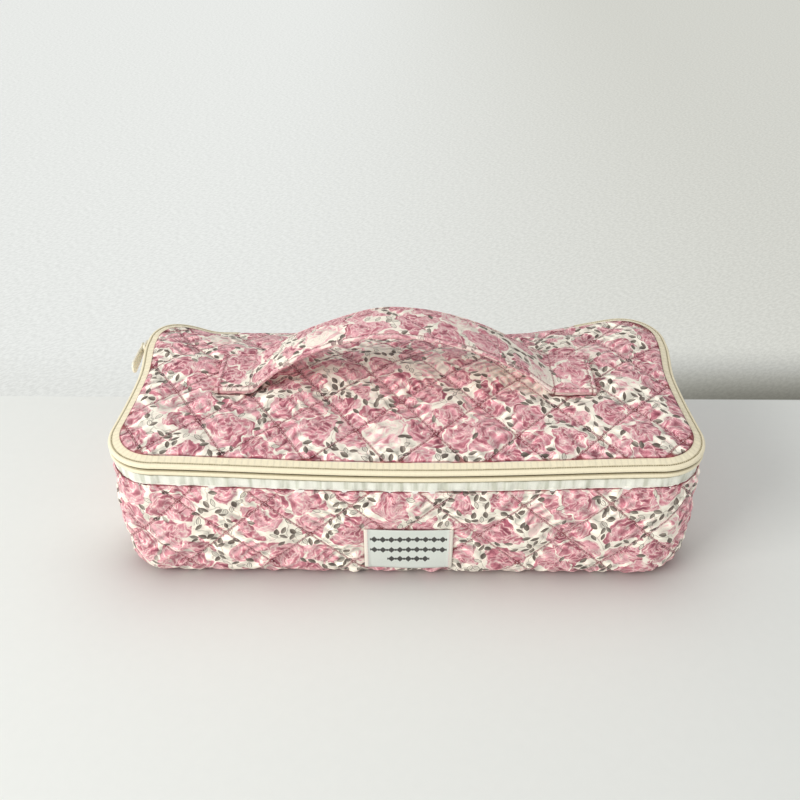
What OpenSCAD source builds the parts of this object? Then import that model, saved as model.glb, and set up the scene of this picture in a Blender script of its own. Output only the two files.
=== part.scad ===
// Quilted knitting bag: a soft box with a padded lid, a zip that runs round three
// sides, a fabric hinge along the back and a carrying strap sewn to the lid.
// Origin: centre of the underside. +X along the length, -Y to the front, +Z up.
// Profiles are drawn as [u, z]: u is the distance outwards from the outer face of
// the zip chain, and is negative inside it.

/* [Zip line] */
// Length of the bag, across the outer face of the zip chain
zip_length = 330; // [260:1:420]
// Depth of the bag, front to back, across the outer face of the zip chain
zip_depth = 154; // [130:1:200]
// Height of the slit between the two halves of the zip
zip_height = 82; // [60:1:120]
// Plan radius of the four corners, on the outer face of the zip chain
corner_radius = 30; // [26:1:40]

/* [Zip] */
// Gap between the two halves of the closed chain
chain_slit = 0.9; // [0.8:0.1:1.4]
// Height of the rolled edge of each tape
ridge_height = 3.3; // [2.6:0.1:4]
// How far the rolled edge stands out from the flat of the tape
ridge_depth = 1.3; // [0.9:0.1:1.6]
// Depth of the coil from the outer face of the chain
coil_depth = 3; // [2.6:0.1:3.2]
// Thickness of the zip tape
tape_thickness = 0.6; // [0.4:0.1:0.7]
// Width of the lower tape that shows between the chain and the wall
lower_tape_show = 5; // [3:0.5:9]
// Width of the upper tape that shows between the chain and the lid
upper_tape_show = 4.7; // [4:0.1:8]
// Height that the upper tape climbs from the chain to the lid's seam
upper_tape_rise = 1.2; // [0.5:0.1:3]
// Width of each tape that is tucked into its seam
tape_tuck = 5; // [3:0.5:6]
// Length of zip that carries on past each back corner
zip_tail = 23; // [10:1:50]

/* [Quilted fabric] */
// Thickness of the printed cotton outer fabric
fabric_thickness = 0.8; // [0.5:0.1:1.2]
// Thickness of the batting
batting_thickness = 2.6; // [1.5:0.1:4]
// Thickness of the lining
lining_thickness = 0.6; // [0.4:0.1:1]

/* [Quilting] */
// Height of the middle of each quilted diamond above its stitching
quilt_height = 2.8; // [1:0.1:3.4]
// Distance between the wall's crossings of quilting lines, along a level line
wall_quilt_spacing = 47; // [36:1:60]
// Place of one such crossing along the front, from the bag's middle
wall_quilt_offset = -6.3; // [-20:0.1:20]
// Distance of that crossing above the rim
wall_quilt_rise = 10.3; // [8:0.1:16]
// Distance between the lines of each of the lid's two sets of quilting
lid_quilt_spacing = [34.6, 32.3]; // [24:0.1:45]
// Way that each set's lines face, turned anticlockwise from the bag's right side
lid_quilt_angles = [36, 133]; // [20:1:160]
// Place of the lid's middle crossing, along the bag from its centre
lid_quilt_offset = 23.1; // [-30:0.1:30]
// Width over which the padding rolls down to the lid's seam
quilt_roll = 9; // [6:0.5:14]

/* [Body] */
// How far the face of the wall lies inside the face of the chain
wall_inset = 0.5; // [0.4:0.1:2]
// Radius with which the wall rolls under to the base
bottom_roll = 16; // [10:0.5:19]

/* [Lid] */
// Rise of the padded lid from its seam to its middle
lid_crown = 1.2; // [1:0.1:8]

/* [Bound seams] */
// Thickness of the binding tape
binding_thickness = 0.6; // [0.4:0.1:0.8]
// Width of the binding tape
binding_width = 8; // [5:0.5:12]
// Height of the bound seam that stands up round the base
seam_fin_height = 7; // [4:0.5:9]
// Thickness of that bound seam
seam_fin_thickness = 1.2; // [0.8:0.1:2]

/* [Handle] */
// Width of the strap
strap_width = 38; // [26:0.5:50]
// Thickness of the padded strap
strap_thickness = 3.2; // [2.4:0.1:5]
// Thickness of the strap's cover
cover_thickness = 0.7; // [0.5:0.1:0.9]
// Distance between the two folds where the strap leaves the lid
handle_span = 175; // [150:1:190]
// Place of the middle of that span along the bag, from the bag's centre
handle_offset = -2.5; // [-8:0.5:8]
// Place of the crest along the bag, from the middle of the span
crest_offset = -9.5; // [-15:0.5:15]
// Height of the crest above the sewn ends
handle_rise = 35; // [28:1:60]
// Length of the left sewn end
left_end_length = 23; // [16:0.5:26]
// Length of the right sewn end
right_end_length = 27; // [16:0.5:28]
// Length, along the bag, of strap that bends at each end of the arch
flex_length = 32; // [24:1:34]
// Gap between the arch and the bending stretch at each of its ends
arch_gap = 0.3; // [0.2:0.05:0.5]

/* [Label] */
// Width of the woven label
label_width = 50; // [30:1:80]
// Height of the woven label
label_height = 29; // [15:1:34]
// Thickness of the folded label
label_thickness = 0.9; // [0.6:0.1:1.4]
// Place of the label's centre along the bag
label_offset = 1.7; // [-60:0.1:60]
// Height of the label's lower edge
label_bottom = 10; // [8:0.5:18]

/* [Slider] */
// Length of the slider along the chain
slider_length = 11; // [9:0.5:14]
// Width of the slider across the chain
slider_width = 7.2; // [6:0.1:7.4]
// Thickness of the slider's outer plate
outer_plate = 1.5; // [1:0.1:2]
// Thickness of the slider's inner plate
inner_plate = 1.1; // [0.8:0.1:1.4]
// Running gap between the chain and the outer plate
outer_gap = 0.35; // [0.3:0.05:0.5]
// Running gap between the coil and the inner plate
inner_gap = 0.4; // [0.3:0.05:0.5]
// Thickness of the web that runs in the slit
web_thickness = 0.4; // [0.3:0.05:0.4]
// Length of the web along the chain
web_length = 5; // [3:0.5:7]
// Length of the bridge that holds the pull
bridge_length = 8.4; // [8:0.1:9]
// Width of the bridge
bridge_width = 2.2; // [1.6:0.1:2.6]
// Thickness of the bridge
bridge_thickness = 1; // [0.8:0.1:1.4]
// Diameter of the pull's crossbar, and thickness of the pull
pull_thickness = 1.4; // [1:0.1:1.6]
// Running gap round the pull's crossbar
pull_gap = 0.35; // [0.3:0.05:0.5]
// Length of the pull from its pivot
pull_length = 26; // [18:1:36]
// Width of the pull
pull_width = 8; // [6.8:0.1:10]

/* [Stitching] */
// Width and height of a line of thread
thread = 0.5; // [0.3:0.1:0.8]
// Distance of the topstitching from the edge that it holds
stitch_inset = 2; // [1:0.5:4]

/* [Hidden] */

$fn = 96;

// Corner centres and straight runs of the zip line.
centre_x = zip_length / 2 - corner_radius;
centre_y = zip_depth / 2 - corner_radius;

// Levels. The zip's own levels are counted from the slit.
half_slit = chain_slit / 2;
ridge_end = half_slit + ridge_height;
rim_z = zip_height - ridge_end - lower_tape_show;
lid_edge_z = zip_height + ridge_end + upper_tape_rise;
lid_top_z = lid_edge_z + fabric_thickness + lid_crown;
lid_seam_u = -ridge_depth - upper_tape_show;
lid_thickness = fabric_thickness + batting_thickness + lining_thickness;
swell_steps = 6;

// Faces of the wall's layers, as u.
wall_u = -wall_inset;
roll_u = wall_u - bottom_roll;
layer_depths = [0, fabric_thickness, fabric_thickness + batting_thickness, lid_thickness];
wall_in_u = wall_u - lid_thickness;

// Colours.
print_pink = "#E3A9B4";
batting_white = "#F4F1EA";
lining_cream = "#F1E8D8";
zip_cream = "#F5EDD2";
binding_rose = "#D9A0AC";
label_grey = "#E4E6DF";
thread_pink = "#E9C3C9";

// ---------- sweeping round the bag ----------

// A straight run of a profile along one side. Side 0 faces +X, 1 +Y, 2 -X, 3 -Y.
// The run goes from one place along the side to another.
module side_run(side, profile, from, to) {
    reach = side % 2 == 0 ? zip_length / 2 : zip_depth / 2;
    rotate([0, 0, 90 * side])
        translate([reach, to, 0])
            rotate([90, 0, 0])
                linear_extrude(height = to - from)
                    polygon(profile);
}

// A quarter turn of a profile round one corner. Corner 0 is +X +Y, then anticlockwise.
module corner_turn(corner, profile) {
    sx = corner == 0 || corner == 3 ? 1 : -1;
    sy = corner < 2 ? 1 : -1;
    translate([sx * centre_x, sy * centre_y, 0])
        rotate([0, 0, 90 * corner])
            rotate_extrude(angle = 90)
                translate([corner_radius, 0])
                    polygon(profile);
}

// A profile swept all the way round.
module full_band(profile) {
    for (i = [0 : 3]) {
        run = i % 2 == 0 ? centre_y : centre_x;
        side_run(i, profile, -run, run);
        corner_turn(i, profile);
    }
}

// A profile swept round the zip: three sides, four corners and a tail on the back.
module zip_band(profile) {
    for (i = [0 : 3]) {
        run = i % 2 == 0 ? centre_y : centre_x;
        corner_turn(i, profile);
        if (i != 1) side_run(i, profile, -run, run);
    }
    side_run(1, profile, -centre_x, -centre_x + zip_tail);
    side_run(1, profile, centre_x - zip_tail, centre_x);
}

// A profile along the back, between the two tails of the zip.
module hinge_band(profile) {
    side_run(1, profile, -centre_x + zip_tail, centre_x - zip_tail);
}

// A flat plate with the bag's rounded plan, inset by a distance.
module plate(inset, low, high) {
    r = corner_radius - inset;
    translate([0, 0, low])
        linear_extrude(height = high - low) {
            square([2 * centre_x, 2 * (centre_y + r)], center = true);
            square([2 * (centre_x + r), 2 * centre_y], center = true);
            for (sx = [-1, 1], sy = [-1, 1])
                translate([sx * centre_x, sy * centre_y]) circle(r = r);
        }
}

// ---------- profiles ----------

function arc(centre, radius, from, to, steps) =
    [for (i = [0 : steps]) let (a = from + (to - from) * i / steps)
        [centre[0] + radius[0] * cos(a), centre[1] + radius[1] * sin(a)]];

function reversed(list) = [for (i = [len(list) - 1 : -1 : 0]) list[i]];

// The wall's line at a depth below its face: up the roll from the base, then straight up.
function wall_line(depth, top) =
    concat(arc([roll_u, bottom_roll], [bottom_roll - depth, bottom_roll - depth], -90, 0, 6),
           [[wall_u - depth, top]]);

// A layer of the wall between two depths.
function wall_layer(outer, inner, top) =
    concat(wall_line(outer, top), reversed(wall_line(inner, top)));

// The batting, cut back at its top to let the zip tape into the seam.
function wall_batting_profile() =
    let (outer = wall_line(layer_depths[1], rim_z - tape_tuck),
         cut = wall_u - fabric_thickness - tape_thickness)
    concat(outer,
           [[cut, rim_z - tape_tuck], [cut, rim_z]],
           reversed(wall_line(layer_depths[2], rim_z)));

// The swell of the lid, as [u, height above the seam], from its flat middle out to its seam.
// All the lid's layers bend at these places, so that they lie face to face.
swell = [for (i = [0 : swell_steps]) let (t = i / swell_steps)
    [-corner_radius + (corner_radius + lid_seam_u) * t, lid_crown * (1 + cos(180 * t)) / 2]];

// The lid's line at a depth below its upper face, from one u in to another.
function lid_line(depth, from, to) =
    let (bends = [for (p = reversed(swell)) if (p[0] < from && p[0] > to) p[0]])
    [for (u = concat([from], bends, [to]))
        [u, lid_edge_z + fabric_thickness + lookup(u, swell) - depth]];

// A layer of the lid between two depths, from one u in to another.
function lid_layer(upper, lower, from, to) =
    concat(lid_line(upper, from, to), reversed(lid_line(lower, from, to)));

// The rolled edge and the flat of a tape, seen from the slit. side is 1 above, -1 below.
function rolled_edge(side, inset, from, to) =
    [for (p = arc([-ridge_depth, half_slit + ridge_height / 2],
                  [ridge_depth - inset, ridge_height / 2 - inset], from, to, 8))
        [p[0], zip_height + side * p[1]]];

function lower_tape_profile() =
    concat(rolled_edge(-1, 0, -90, 90),
           [[-ridge_depth, rim_z - tape_tuck],
            [-ridge_depth - tape_thickness, rim_z - tape_tuck],
            [-ridge_depth - tape_thickness, zip_height - ridge_end],
            [-ridge_depth, zip_height - ridge_end + tape_thickness]],
           reversed(rolled_edge(-1, tape_thickness, -90, 70)));

function upper_tape_profile() =
    let (seam = [lid_seam_u, lid_edge_z], end = [lid_seam_u - tape_tuck, lid_edge_z])
    concat(rolled_edge(1, 0, -90, 90),
           [seam, end,
            [end[0], end[1] - tape_thickness],
            [seam[0], seam[1] - tape_thickness],
            [-ridge_depth - tape_thickness, zip_height + ridge_end - tape_thickness]],
           reversed(rolled_edge(1, tape_thickness, -90, 90)));

// The coil lies inside the rolled edge of its tape.
function coil_profile(side) =
    let (edge = rolled_edge(side, tape_thickness, -90, 90))
    concat(edge,
           [[-coil_depth, edge[len(edge) - 1][1]], [-coil_depth, edge[0][1]]]);

// ---------- quilting ----------

// The quilting is a grid of places that are stitched down and puffed up by turns.
// range holds the grid's first and last column and its first and last row.
stitch_depth = 0.3;

function is_border(m, n, range) =
    m == range[0] || m == range[1] || n == range[2] || n == range[3];

// How far quilted cloth stands above its plain sheet. The border is stitched down.
function puff(m, n, range) =
    abs((m + n) % 2) == 1 && !is_border(m, n, range) ? quilt_height : -stitch_depth;

// A closed solid between a face and a back, each given point by point, row after row.
// The face is split along its stitching.
module quilted_solid(face, back, range) {
    columns = range[1] - range[0] + 1;
    rows = range[3] - range[2] + 1;
    count = columns * rows;
    function at(c, r) = r * columns + c;
    function quad(c, r, shift) =
        let (a = at(c, r) + shift, b = at(c + 1, r) + shift,
             d = at(c, r + 1) + shift, e = at(c + 1, r + 1) + shift)
        abs((c + r + range[0] + range[2]) % 2) == 0
            ? [[a, e, b], [a, d, e]] : [[a, d, b], [b, d, e]];
    front_faces = [for (r = [0 : rows - 2], c = [0 : columns - 2], f = quad(c, r, 0)) f];
    back_faces = [for (r = [0 : rows - 2], c = [0 : columns - 2], f = quad(c, r, count))
        [f[2], f[1], f[0]]];
    edge = concat([for (c = [0 : columns - 1]) at(c, 0)],
                  [for (r = [1 : rows - 1]) at(columns - 1, r)],
                  [for (c = [columns - 2 : -1 : 0]) at(c, rows - 1)],
                  [for (r = [rows - 2 : -1 : 1]) at(0, r)]);
    sides = [for (i = [0 : len(edge) - 1])
        let (a = edge[i], b = edge[(i + 1) % len(edge)], f = [b, b + count, a + count, a])
        each [[f[0], f[1], f[2]], [f[0], f[2], f[3]]]];
    polyhedron(concat(face, back), concat(front_faces, back_faces, sides));
}

// ---------- base ----------

module base_layer(first, last) {
    plate(-roll_u, layer_depths[first], layer_depths[last]);
}

module base_outer_fabric() { color(print_pink) base_layer(0, 1); }

module base_batting() { color(batting_white) base_layer(1, 2); }

module base_lining() { color(lining_cream) base_layer(2, 3); }

// Bound seam allowance, standing up where the wall meets the base.
module base_seam_binding() {
    u = roll_u - seam_fin_thickness;
    z = lid_thickness;
    color(binding_rose)
        full_band([[u, z], [roll_u, z], [roll_u, z + seam_fin_height], [u, z + seam_fin_height]]);
}

// ---------- wall ----------

// Places along the wall run from the middle of the front to the middle of the back.
quarter = 90 * PI / 180 * corner_radius;
wall_runs = [centre_x, quarter, 2 * centre_y, quarter, centre_x];
wall_ends = [for (i = 0, sum = 0; i <= 5; sum = sum + (i < 5 ? wall_runs[i] : 0), i = i + 1) sum];
wall_turns = [0, 0, 90, 90, 180, 180];
wall_centres = [[0, -centre_y], [centre_x, -centre_y], [centre_x, -centre_y],
                [centre_x, centre_y], [centre_x, centre_y], [0, centre_y]];

function wall_table(values) = [for (i = [0 : 5]) [wall_ends[i], values[i]]];

wall_straight = rim_z - bottom_roll;
wall_drop = wall_straight + 90 * PI / 180 * bottom_roll;

// A point on the wall at a distance along it and down from the rim, and out of its face.
function wall_point(along, down, out) =
    let (side = along < 0 ? -1 : 1,
         turn = 270 + side * lookup(abs(along), wall_table(wall_turns)),
         x = side * lookup(abs(along), wall_table([for (c = wall_centres) c[0]])),
         y = lookup(abs(along), wall_table([for (c = wall_centres) c[1]])),
         bend = max(0, down - wall_straight) / bottom_roll * 180 / PI,
         reach = corner_radius + roll_u + (bottom_roll + out) * cos(bend),
         z = down < wall_straight ? rim_z - down : bottom_roll - (bottom_roll + out) * sin(bend))
    [x + reach * cos(turn), y + reach * sin(turn), z];

// The quilted face of the wall. It ends short of the base's seam, clear of the topstitching,
// and at the seam in the middle of the back.
wall_half_step = wall_quilt_spacing / 2;
wall_quilt_margin = stitch_inset + 3 * thread;
wall_columns = floor((wall_ends[5] - abs(wall_quilt_offset)) / wall_half_step);
wall_rows = floor((wall_drop + wall_quilt_rise - 2 * wall_quilt_margin) / wall_half_step);
wall_range = [-wall_columns, wall_columns, -wall_rows - 1, 0];
quilt_core = 6;

function wall_quilt_down(n) =
    min(max(-n * wall_half_step - wall_quilt_rise, wall_quilt_margin),
        wall_drop - wall_quilt_margin);

function wall_quilt(depth) =
    [for (n = [wall_range[2] : wall_range[3]], m = [wall_range[0] : wall_range[1]])
        wall_point(wall_quilt_offset + m * wall_half_step, wall_quilt_down(n),
                   depth > 0 ? -depth : puff(m, n, wall_range))];

// All that lies inside the wall, from the middle of its fabric inwards.
module wall_core() {
    depth = fabric_thickness / 2;
    inside = 2 - corner_radius;
    full_band(concat(wall_line(depth, rim_z), [[inside, rim_z], [inside, depth]]));
}

module wall_outer_fabric() {
    color(print_pink) {
        full_band(wall_layer(layer_depths[0], layer_depths[1], rim_z));
        difference() {
            quilted_solid(wall_quilt(0), wall_quilt(quilt_core), wall_range);
            wall_core();
            label_place();
        }
    }
}

module wall_batting() { color(batting_white) full_band(wall_batting_profile()); }

module wall_lining() {
    color(lining_cream) full_band(wall_layer(layer_depths[2], layer_depths[3], rim_z));
}

// Binding that covers the raw edges inside the rim.
module rim_binding() {
    u = wall_in_u;
    color(binding_rose)
        full_band([[u - binding_thickness, rim_z - binding_width], [u, rim_z - binding_width],
                   [u, rim_z], [u - binding_thickness, rim_z]]);
}

// Row of thread that holds the fabric's turned edge to the tape.
module rim_topstitching() {
    z = rim_z - stitch_inset;
    color(thread_pink)
        full_band([[wall_u, z - thread / 2], [wall_u + thread / 2, z - thread / 4],
                   [wall_u + thread / 2, z + thread / 4], [wall_u, z + thread / 2]]);
}

// ---------- zip ----------

module lower_zip_tape() { color(zip_cream) zip_band(lower_tape_profile()); }

module lower_zip_coil() { color(zip_cream) zip_band(coil_profile(-1)); }

module upper_zip_tape() { color(zip_cream) zip_band(upper_tape_profile()); }

module upper_zip_coil() { color(zip_cream) zip_band(coil_profile(1)); }

// ---------- hinge ----------

// Outer fabric of the hinge, from the wall's rim up and over to the lid's seam.
module hinge_strip() {
    u = -ridge_depth;
    bend_z = zip_height + ridge_end;
    t = fabric_thickness;
    color(print_pink)
        hinge_band([[u - t, rim_z], [u, rim_z], [u, bend_z], [lid_seam_u, lid_edge_z],
                    [lid_seam_u, lid_edge_z - t], [u - t, bend_z - t]]);
}

// Lining of the hinge, from the rim's binding to the lid's lining.
module hinge_lining() {
    t = lining_thickness;
    low = wall_in_u;
    high = lid_seam_u;
    top_z = lid_edge_z + fabric_thickness - lid_thickness;
    color(lining_cream)
        hinge_band([[low, rim_z], [low + t, rim_z], [low + t, zip_height],
                    [high + t, top_z], [high, top_z], [low, zip_height - t]]);
}

// ---------- lid ----------

module lid_sheet(profile, depths) {
    full_band(profile);
    translate([-centre_x, -centre_y, lid_top_z - depths[1]])
        cube([2 * centre_x, 2 * centre_y, depths[1] - depths[0]]);
}

// How far outwards of the zip chain a point of the plan lies.
function plan_u(x, y) =
    let (over_x = abs(x) - centre_x, over_y = abs(y) - centre_y)
    norm([max(over_x, 0), max(over_y, 0)]) + min(max(over_x, over_y), 0) - corner_radius;

// The lid's quilting, as steps from one diamond's middle crossing to the next.
lid_quilt_turn = lid_quilt_angles[1] - lid_quilt_angles[0];
lid_step_a = lid_quilt_spacing[0] / sin(lid_quilt_turn)
    * [sin(lid_quilt_angles[1]), -cos(lid_quilt_angles[1])];
lid_step_b = lid_quilt_spacing[1] / sin(lid_quilt_turn)
    * [-sin(lid_quilt_angles[0]), cos(lid_quilt_angles[0])];
lid_columns = ceil((zip_length / 2 + abs(lid_quilt_offset)) / (lid_step_a - lid_step_b)[0] * 2);
lid_rows = ceil(zip_depth / 2 / (lid_step_a + lid_step_b)[1] * 2) + 1;
lid_range = [-lid_columns - 1, lid_columns, -lid_rows, lid_rows];

function lid_quilt_place(m, n) =
    [lid_quilt_offset, 0] + m / 2 * (lid_step_a - lid_step_b) + n / 2 * (lid_step_a + lid_step_b);

// The lid turns its corners as a plain sheet, so no pillow rises there.
function in_lid_corner(x, y) =
    abs(x) > centre_x - quilt_height && abs(y) > centre_y - quilt_height;

function lid_quilt(raised) =
    [for (n = [lid_range[2] : lid_range[3]], m = [lid_range[0] : lid_range[1]])
        let (p = lid_quilt_place(m, n),
             height = lid_edge_z + fabric_thickness + lookup(plan_u(p[0], p[1]), swell),
             rise = in_lid_corner(p[0], p[1]) ? -stitch_depth : puff(m, n, lid_range))
        [p[0], p[1], raised ? height + rise : zip_height]];

// Room for the lid's fabric between the corners: from its underside up past its pillows,
// which roll down to the seam.
module lid_quilt_room() {
    room = quilt_height + 1;
    upper = [for (p = reversed(swell))
        [p[0], lid_edge_z + fabric_thickness + p[1]
            + room * min(1, (lid_seam_u - p[0]) / quilt_roll)]];
    lower = lid_line(fabric_thickness, lid_seam_u, -corner_radius);
    for (i = [0 : 3]) {
        run = i % 2 == 0 ? centre_y : centre_x;
        side_run(i, concat(upper, reversed(lower)), -run, run);
    }
    translate([-centre_x, -centre_y, lid_top_z - fabric_thickness])
        cube([2 * centre_x, 2 * centre_y, fabric_thickness + room]);
}

module lid_corner(corner) {
    corner_turn(corner, lid_layer(0, fabric_thickness, lid_seam_u, -corner_radius));
}

module lid_outer_fabric() {
    color(print_pink)
        difference() {
            union() {
                intersection() {
                    quilted_solid(lid_quilt(true), lid_quilt(false), lid_range);
                    lid_quilt_room();
                }
                lid_corner(0);
                lid_corner(1);
                lid_corner(2);
                lid_corner(3);
            }
            strap_places();
        }
}

// The batting starts inside the tape, which is tucked in over it.
module lid_batting() {
    depths = [layer_depths[1], layer_depths[2]];
    start = lid_seam_u - tape_tuck;
    color(batting_white)
        lid_sheet(lid_layer(depths[0], depths[1], start, -corner_radius), depths);
}

module lid_lining() {
    depths = [layer_depths[2], layer_depths[3]];
    color(lining_cream)
        lid_sheet(lid_layer(depths[0], depths[1], lid_seam_u, -corner_radius), depths);
}

// Binding sewn under the edge of the lid.
module lid_seam_binding() {
    low = lid_thickness + binding_thickness;
    color(binding_rose)
        full_band(lid_layer(lid_thickness, low, lid_seam_u, lid_seam_u - binding_width));
}

// ---------- handle ----------

handle_centre = handle_offset;
left_fold = handle_centre - handle_span / 2;
right_fold = handle_centre + handle_span / 2;
crest_x = handle_centre + crest_offset;
arch_left = left_fold + flex_length;
arch_right = right_fold - flex_length;

// Height of the strap's underside above the lid.
function strap_z(x) =
    let (half = x < crest_x ? crest_x - left_fold : right_fold - crest_x)
    handle_rise * (1 - pow((x - crest_x) / half, 2));

// Direction across the strap, square to its line.
function strap_normal(x) =
    let (half = x < crest_x ? crest_x - left_fold : right_fold - crest_x,
         slope = -2 * handle_rise * (x - crest_x) / (half * half),
         size = sqrt(1 + slope * slope))
    [-slope / size, 1 / size];

function strap_point(x, height) =
    let (n = strap_normal(x))
    [x + n[0] * height, lid_top_z + strap_z(x) + n[1] * height];

function strap_line(from, to, height, steps) =
    [for (i = [0 : steps]) strap_point(from + (to - from) * i / steps, height)];

// An outline in [x, z], given the strap's width and centred on the lid.
module across_strap(outline, width) {
    translate([0, width / 2, 0])
        rotate([90, 0, 0])
            linear_extrude(height = width)
                polygon(outline);
}

// The line of the arch at a height above its underside, run on past both its ends.
function arch_line(height, run_on) =
    concat([strap_point(arch_left + arch_gap - run_on, height)],
           strap_line(arch_left + arch_gap, arch_right - arch_gap, height, 16),
           [strap_point(arch_right - arch_gap + run_on, height)]);

function padding_outline(run_on) =
    concat(arch_line(cover_thickness, run_on),
           reversed(arch_line(strap_thickness - cover_thickness, run_on)));

padding_width = strap_width - 2 * cover_thickness;

module handle_cover() {
    color(print_pink)
        difference() {
            across_strap(concat(arch_line(0, 0), reversed(arch_line(strap_thickness, 0))),
                         strap_width);
            across_strap(padding_outline(1), padding_width);
        }
}

module handle_padding() {
    color(batting_white) across_strap(padding_outline(0), padding_width);
}

// The strap between a fold, where it meets the sewn end, and the arch.
module strap_bend(fold, end) {
    lean = abs(strap_normal(fold)[0]) * strap_thickness;
    top_start = fold + lean * sign(end - fold);
    color(print_pink)
        across_strap(concat(strap_line(fold, end, 0, 5),
                            reversed(strap_line(top_start, end, strap_thickness, 5))),
                     strap_width);
}

module handle_left_bend() { strap_bend(left_fold, arch_left); }

module handle_right_bend() { strap_bend(right_fold, arch_right); }

module sewn_end(from, to) {
    color(print_pink)
        translate([from, -strap_width / 2, lid_top_z])
            cube([to - from, strap_width, strap_thickness]);
}

// Where the ends of the strap hold the lid's quilting down, and where the strap rises.
module strap_places() {
    rise = 7;
    width = strap_width + 2;
    for (x = [left_fold - left_end_length - 1, right_fold - rise])
        translate([x, -width / 2, lid_top_z])
            cube([(x < 0 ? left_end_length : right_end_length) + 1 + rise, width, strap_width]);
}

module handle_left_end() { sewn_end(left_fold - left_end_length, left_fold); }

module handle_right_end() { sewn_end(right_fold, right_fold + right_end_length); }

// A rectangle of thread on top of a sewn end.
module box_stitch(from, to) {
    size = [to - from - 2 * stitch_inset, strap_width - 2 * stitch_inset];
    translate([(from + to) / 2, 0, lid_top_z + strap_thickness])
        linear_extrude(height = thread / 2)
            difference() {
                square(size, center = true);
                square([size[0] - 2 * thread, size[1] - 2 * thread], center = true);
            }
}

module handle_end_stitching() {
    color(thread_pink) {
        box_stitch(left_fold - left_end_length, left_fold);
        box_stitch(right_fold, right_fold + right_end_length);
    }
}

// ---------- label ----------

label_y = -zip_depth / 2 - wall_u;

module label() {
    color(label_grey)
        translate([label_offset - label_width / 2, label_y - label_thickness, label_bottom])
            cube([label_width, label_thickness, label_height]);
}

// Where the label holds the wall's quilting down.
module label_place() {
    margin = 1;
    translate([label_offset - label_width / 2 - margin, label_y - label_thickness * 8,
               label_bottom - margin])
        cube([label_width + 2 * margin, label_thickness * 8, label_height + 2 * margin]);
}

module label_stitching() {
    y = label_y - label_thickness - thread / 2;
    color(thread_pink)
        for (side = [-1, 1])
            translate([label_offset + side * (label_width / 2 - stitch_inset) - thread / 2,
                       y, label_bottom + 1])
                cube([thread, thread / 2, label_height - 2]);
}

// ---------- slider and pull ----------

// The slider lies on the left side, just in front of the back corner.
slider_y = centre_y - slider_length / 2 - thread;
pull_u = outer_gap + outer_plate + pull_gap + pull_thickness / 2;

// An outline in [y, z] given a thickness in u, on the left side of the bag.
// The outline's first coordinate grows to the front.
module on_left_side(from, to) {
    translate([-zip_length / 2 - from, slider_y, zip_height])
        rotate([90, 0, -90])
            linear_extrude(height = to - from)
                children();
}

// A plate that narrows to its rear, where the closed chain leaves it.
module slider_plate_outline(width) {
    half = slider_length / 2;
    polygon([[-half, -width * 0.3], [-half * 0.3, -width / 2], [half * 0.8, -width / 2],
             [half, -width * 0.4], [half, width * 0.4], [half * 0.8, width / 2],
             [-half * 0.3, width / 2], [-half, width * 0.3]]);
}

module slider_body() {
    outer_end = outer_gap + outer_plate;
    inner_end = -coil_depth - inner_gap;
    bridge_low = pull_u + pull_thickness / 2 + pull_gap;
    bridge_foot = bridge_thickness;
    color(zip_cream) {
        on_left_side(outer_gap, outer_end) slider_plate_outline(slider_width);
        on_left_side(inner_end - inner_plate, inner_end) slider_plate_outline(slider_width);
        on_left_side(inner_end, outer_gap)
            translate([slider_length / 2 - web_length, -web_thickness / 2])
                square([web_length, web_thickness]);
        for (side = [-1, 1])
            on_left_side(outer_end, bridge_low)
                translate([side * (bridge_length - bridge_foot) / 2, 0])
                    square([bridge_foot, bridge_width], center = true);
        on_left_side(bridge_low, bridge_low + bridge_thickness)
            square([bridge_length, bridge_width], center = true);
    }
}

// A tab with a square eye, whose crossbar turns under the slider's bridge.
module pull_tab() {
    eye = bridge_width + 2 * pull_gap;
    eye_length = bridge_length / 2 + bridge_thickness;
    half = pull_thickness / 2;
    color(zip_cream) {
        translate([-zip_length / 2 - pull_u, slider_y, zip_height])
            cylinder(h = pull_width * 0.8, d = pull_thickness, center = true);
        on_left_side(pull_u - half, pull_u + half)
            difference() {
                union() {
                    translate([0, -pull_width * 0.4])
                        square([pull_length - pull_width / 2, pull_width * 0.8]);
                    translate([pull_length - pull_width / 2, 0]) circle(d = pull_width);
                }
                translate([-1, -eye / 2]) square([eye_length + 1, eye]);
            }
    }
}

base_outer_fabric();
base_batting();
base_lining();
base_seam_binding();
wall_outer_fabric();
wall_batting();
wall_lining();
rim_binding();
rim_topstitching();
lower_zip_tape();
lower_zip_coil();
label();
label_stitching();
lid_outer_fabric();
lid_batting();
lid_lining();
lid_seam_binding();
upper_zip_tape();
upper_zip_coil();
hinge_strip();
hinge_lining();
handle_left_end();
handle_right_end();
handle_end_stitching();
handle_left_bend();
handle_right_bend();
handle_cover();
handle_padding();
slider_body();
pull_tab();
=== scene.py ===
"""Quilted knitting bag: a padded floral box with a zipped lid and a carrying strap.

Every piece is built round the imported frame, in metres, and rides on the frame's bodies.
Cloth places are [s, t]: s runs round the bag from the middle of the back, t down from the rim.
u is the distance outwards from the outer face of the zip chain.
"""

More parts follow.
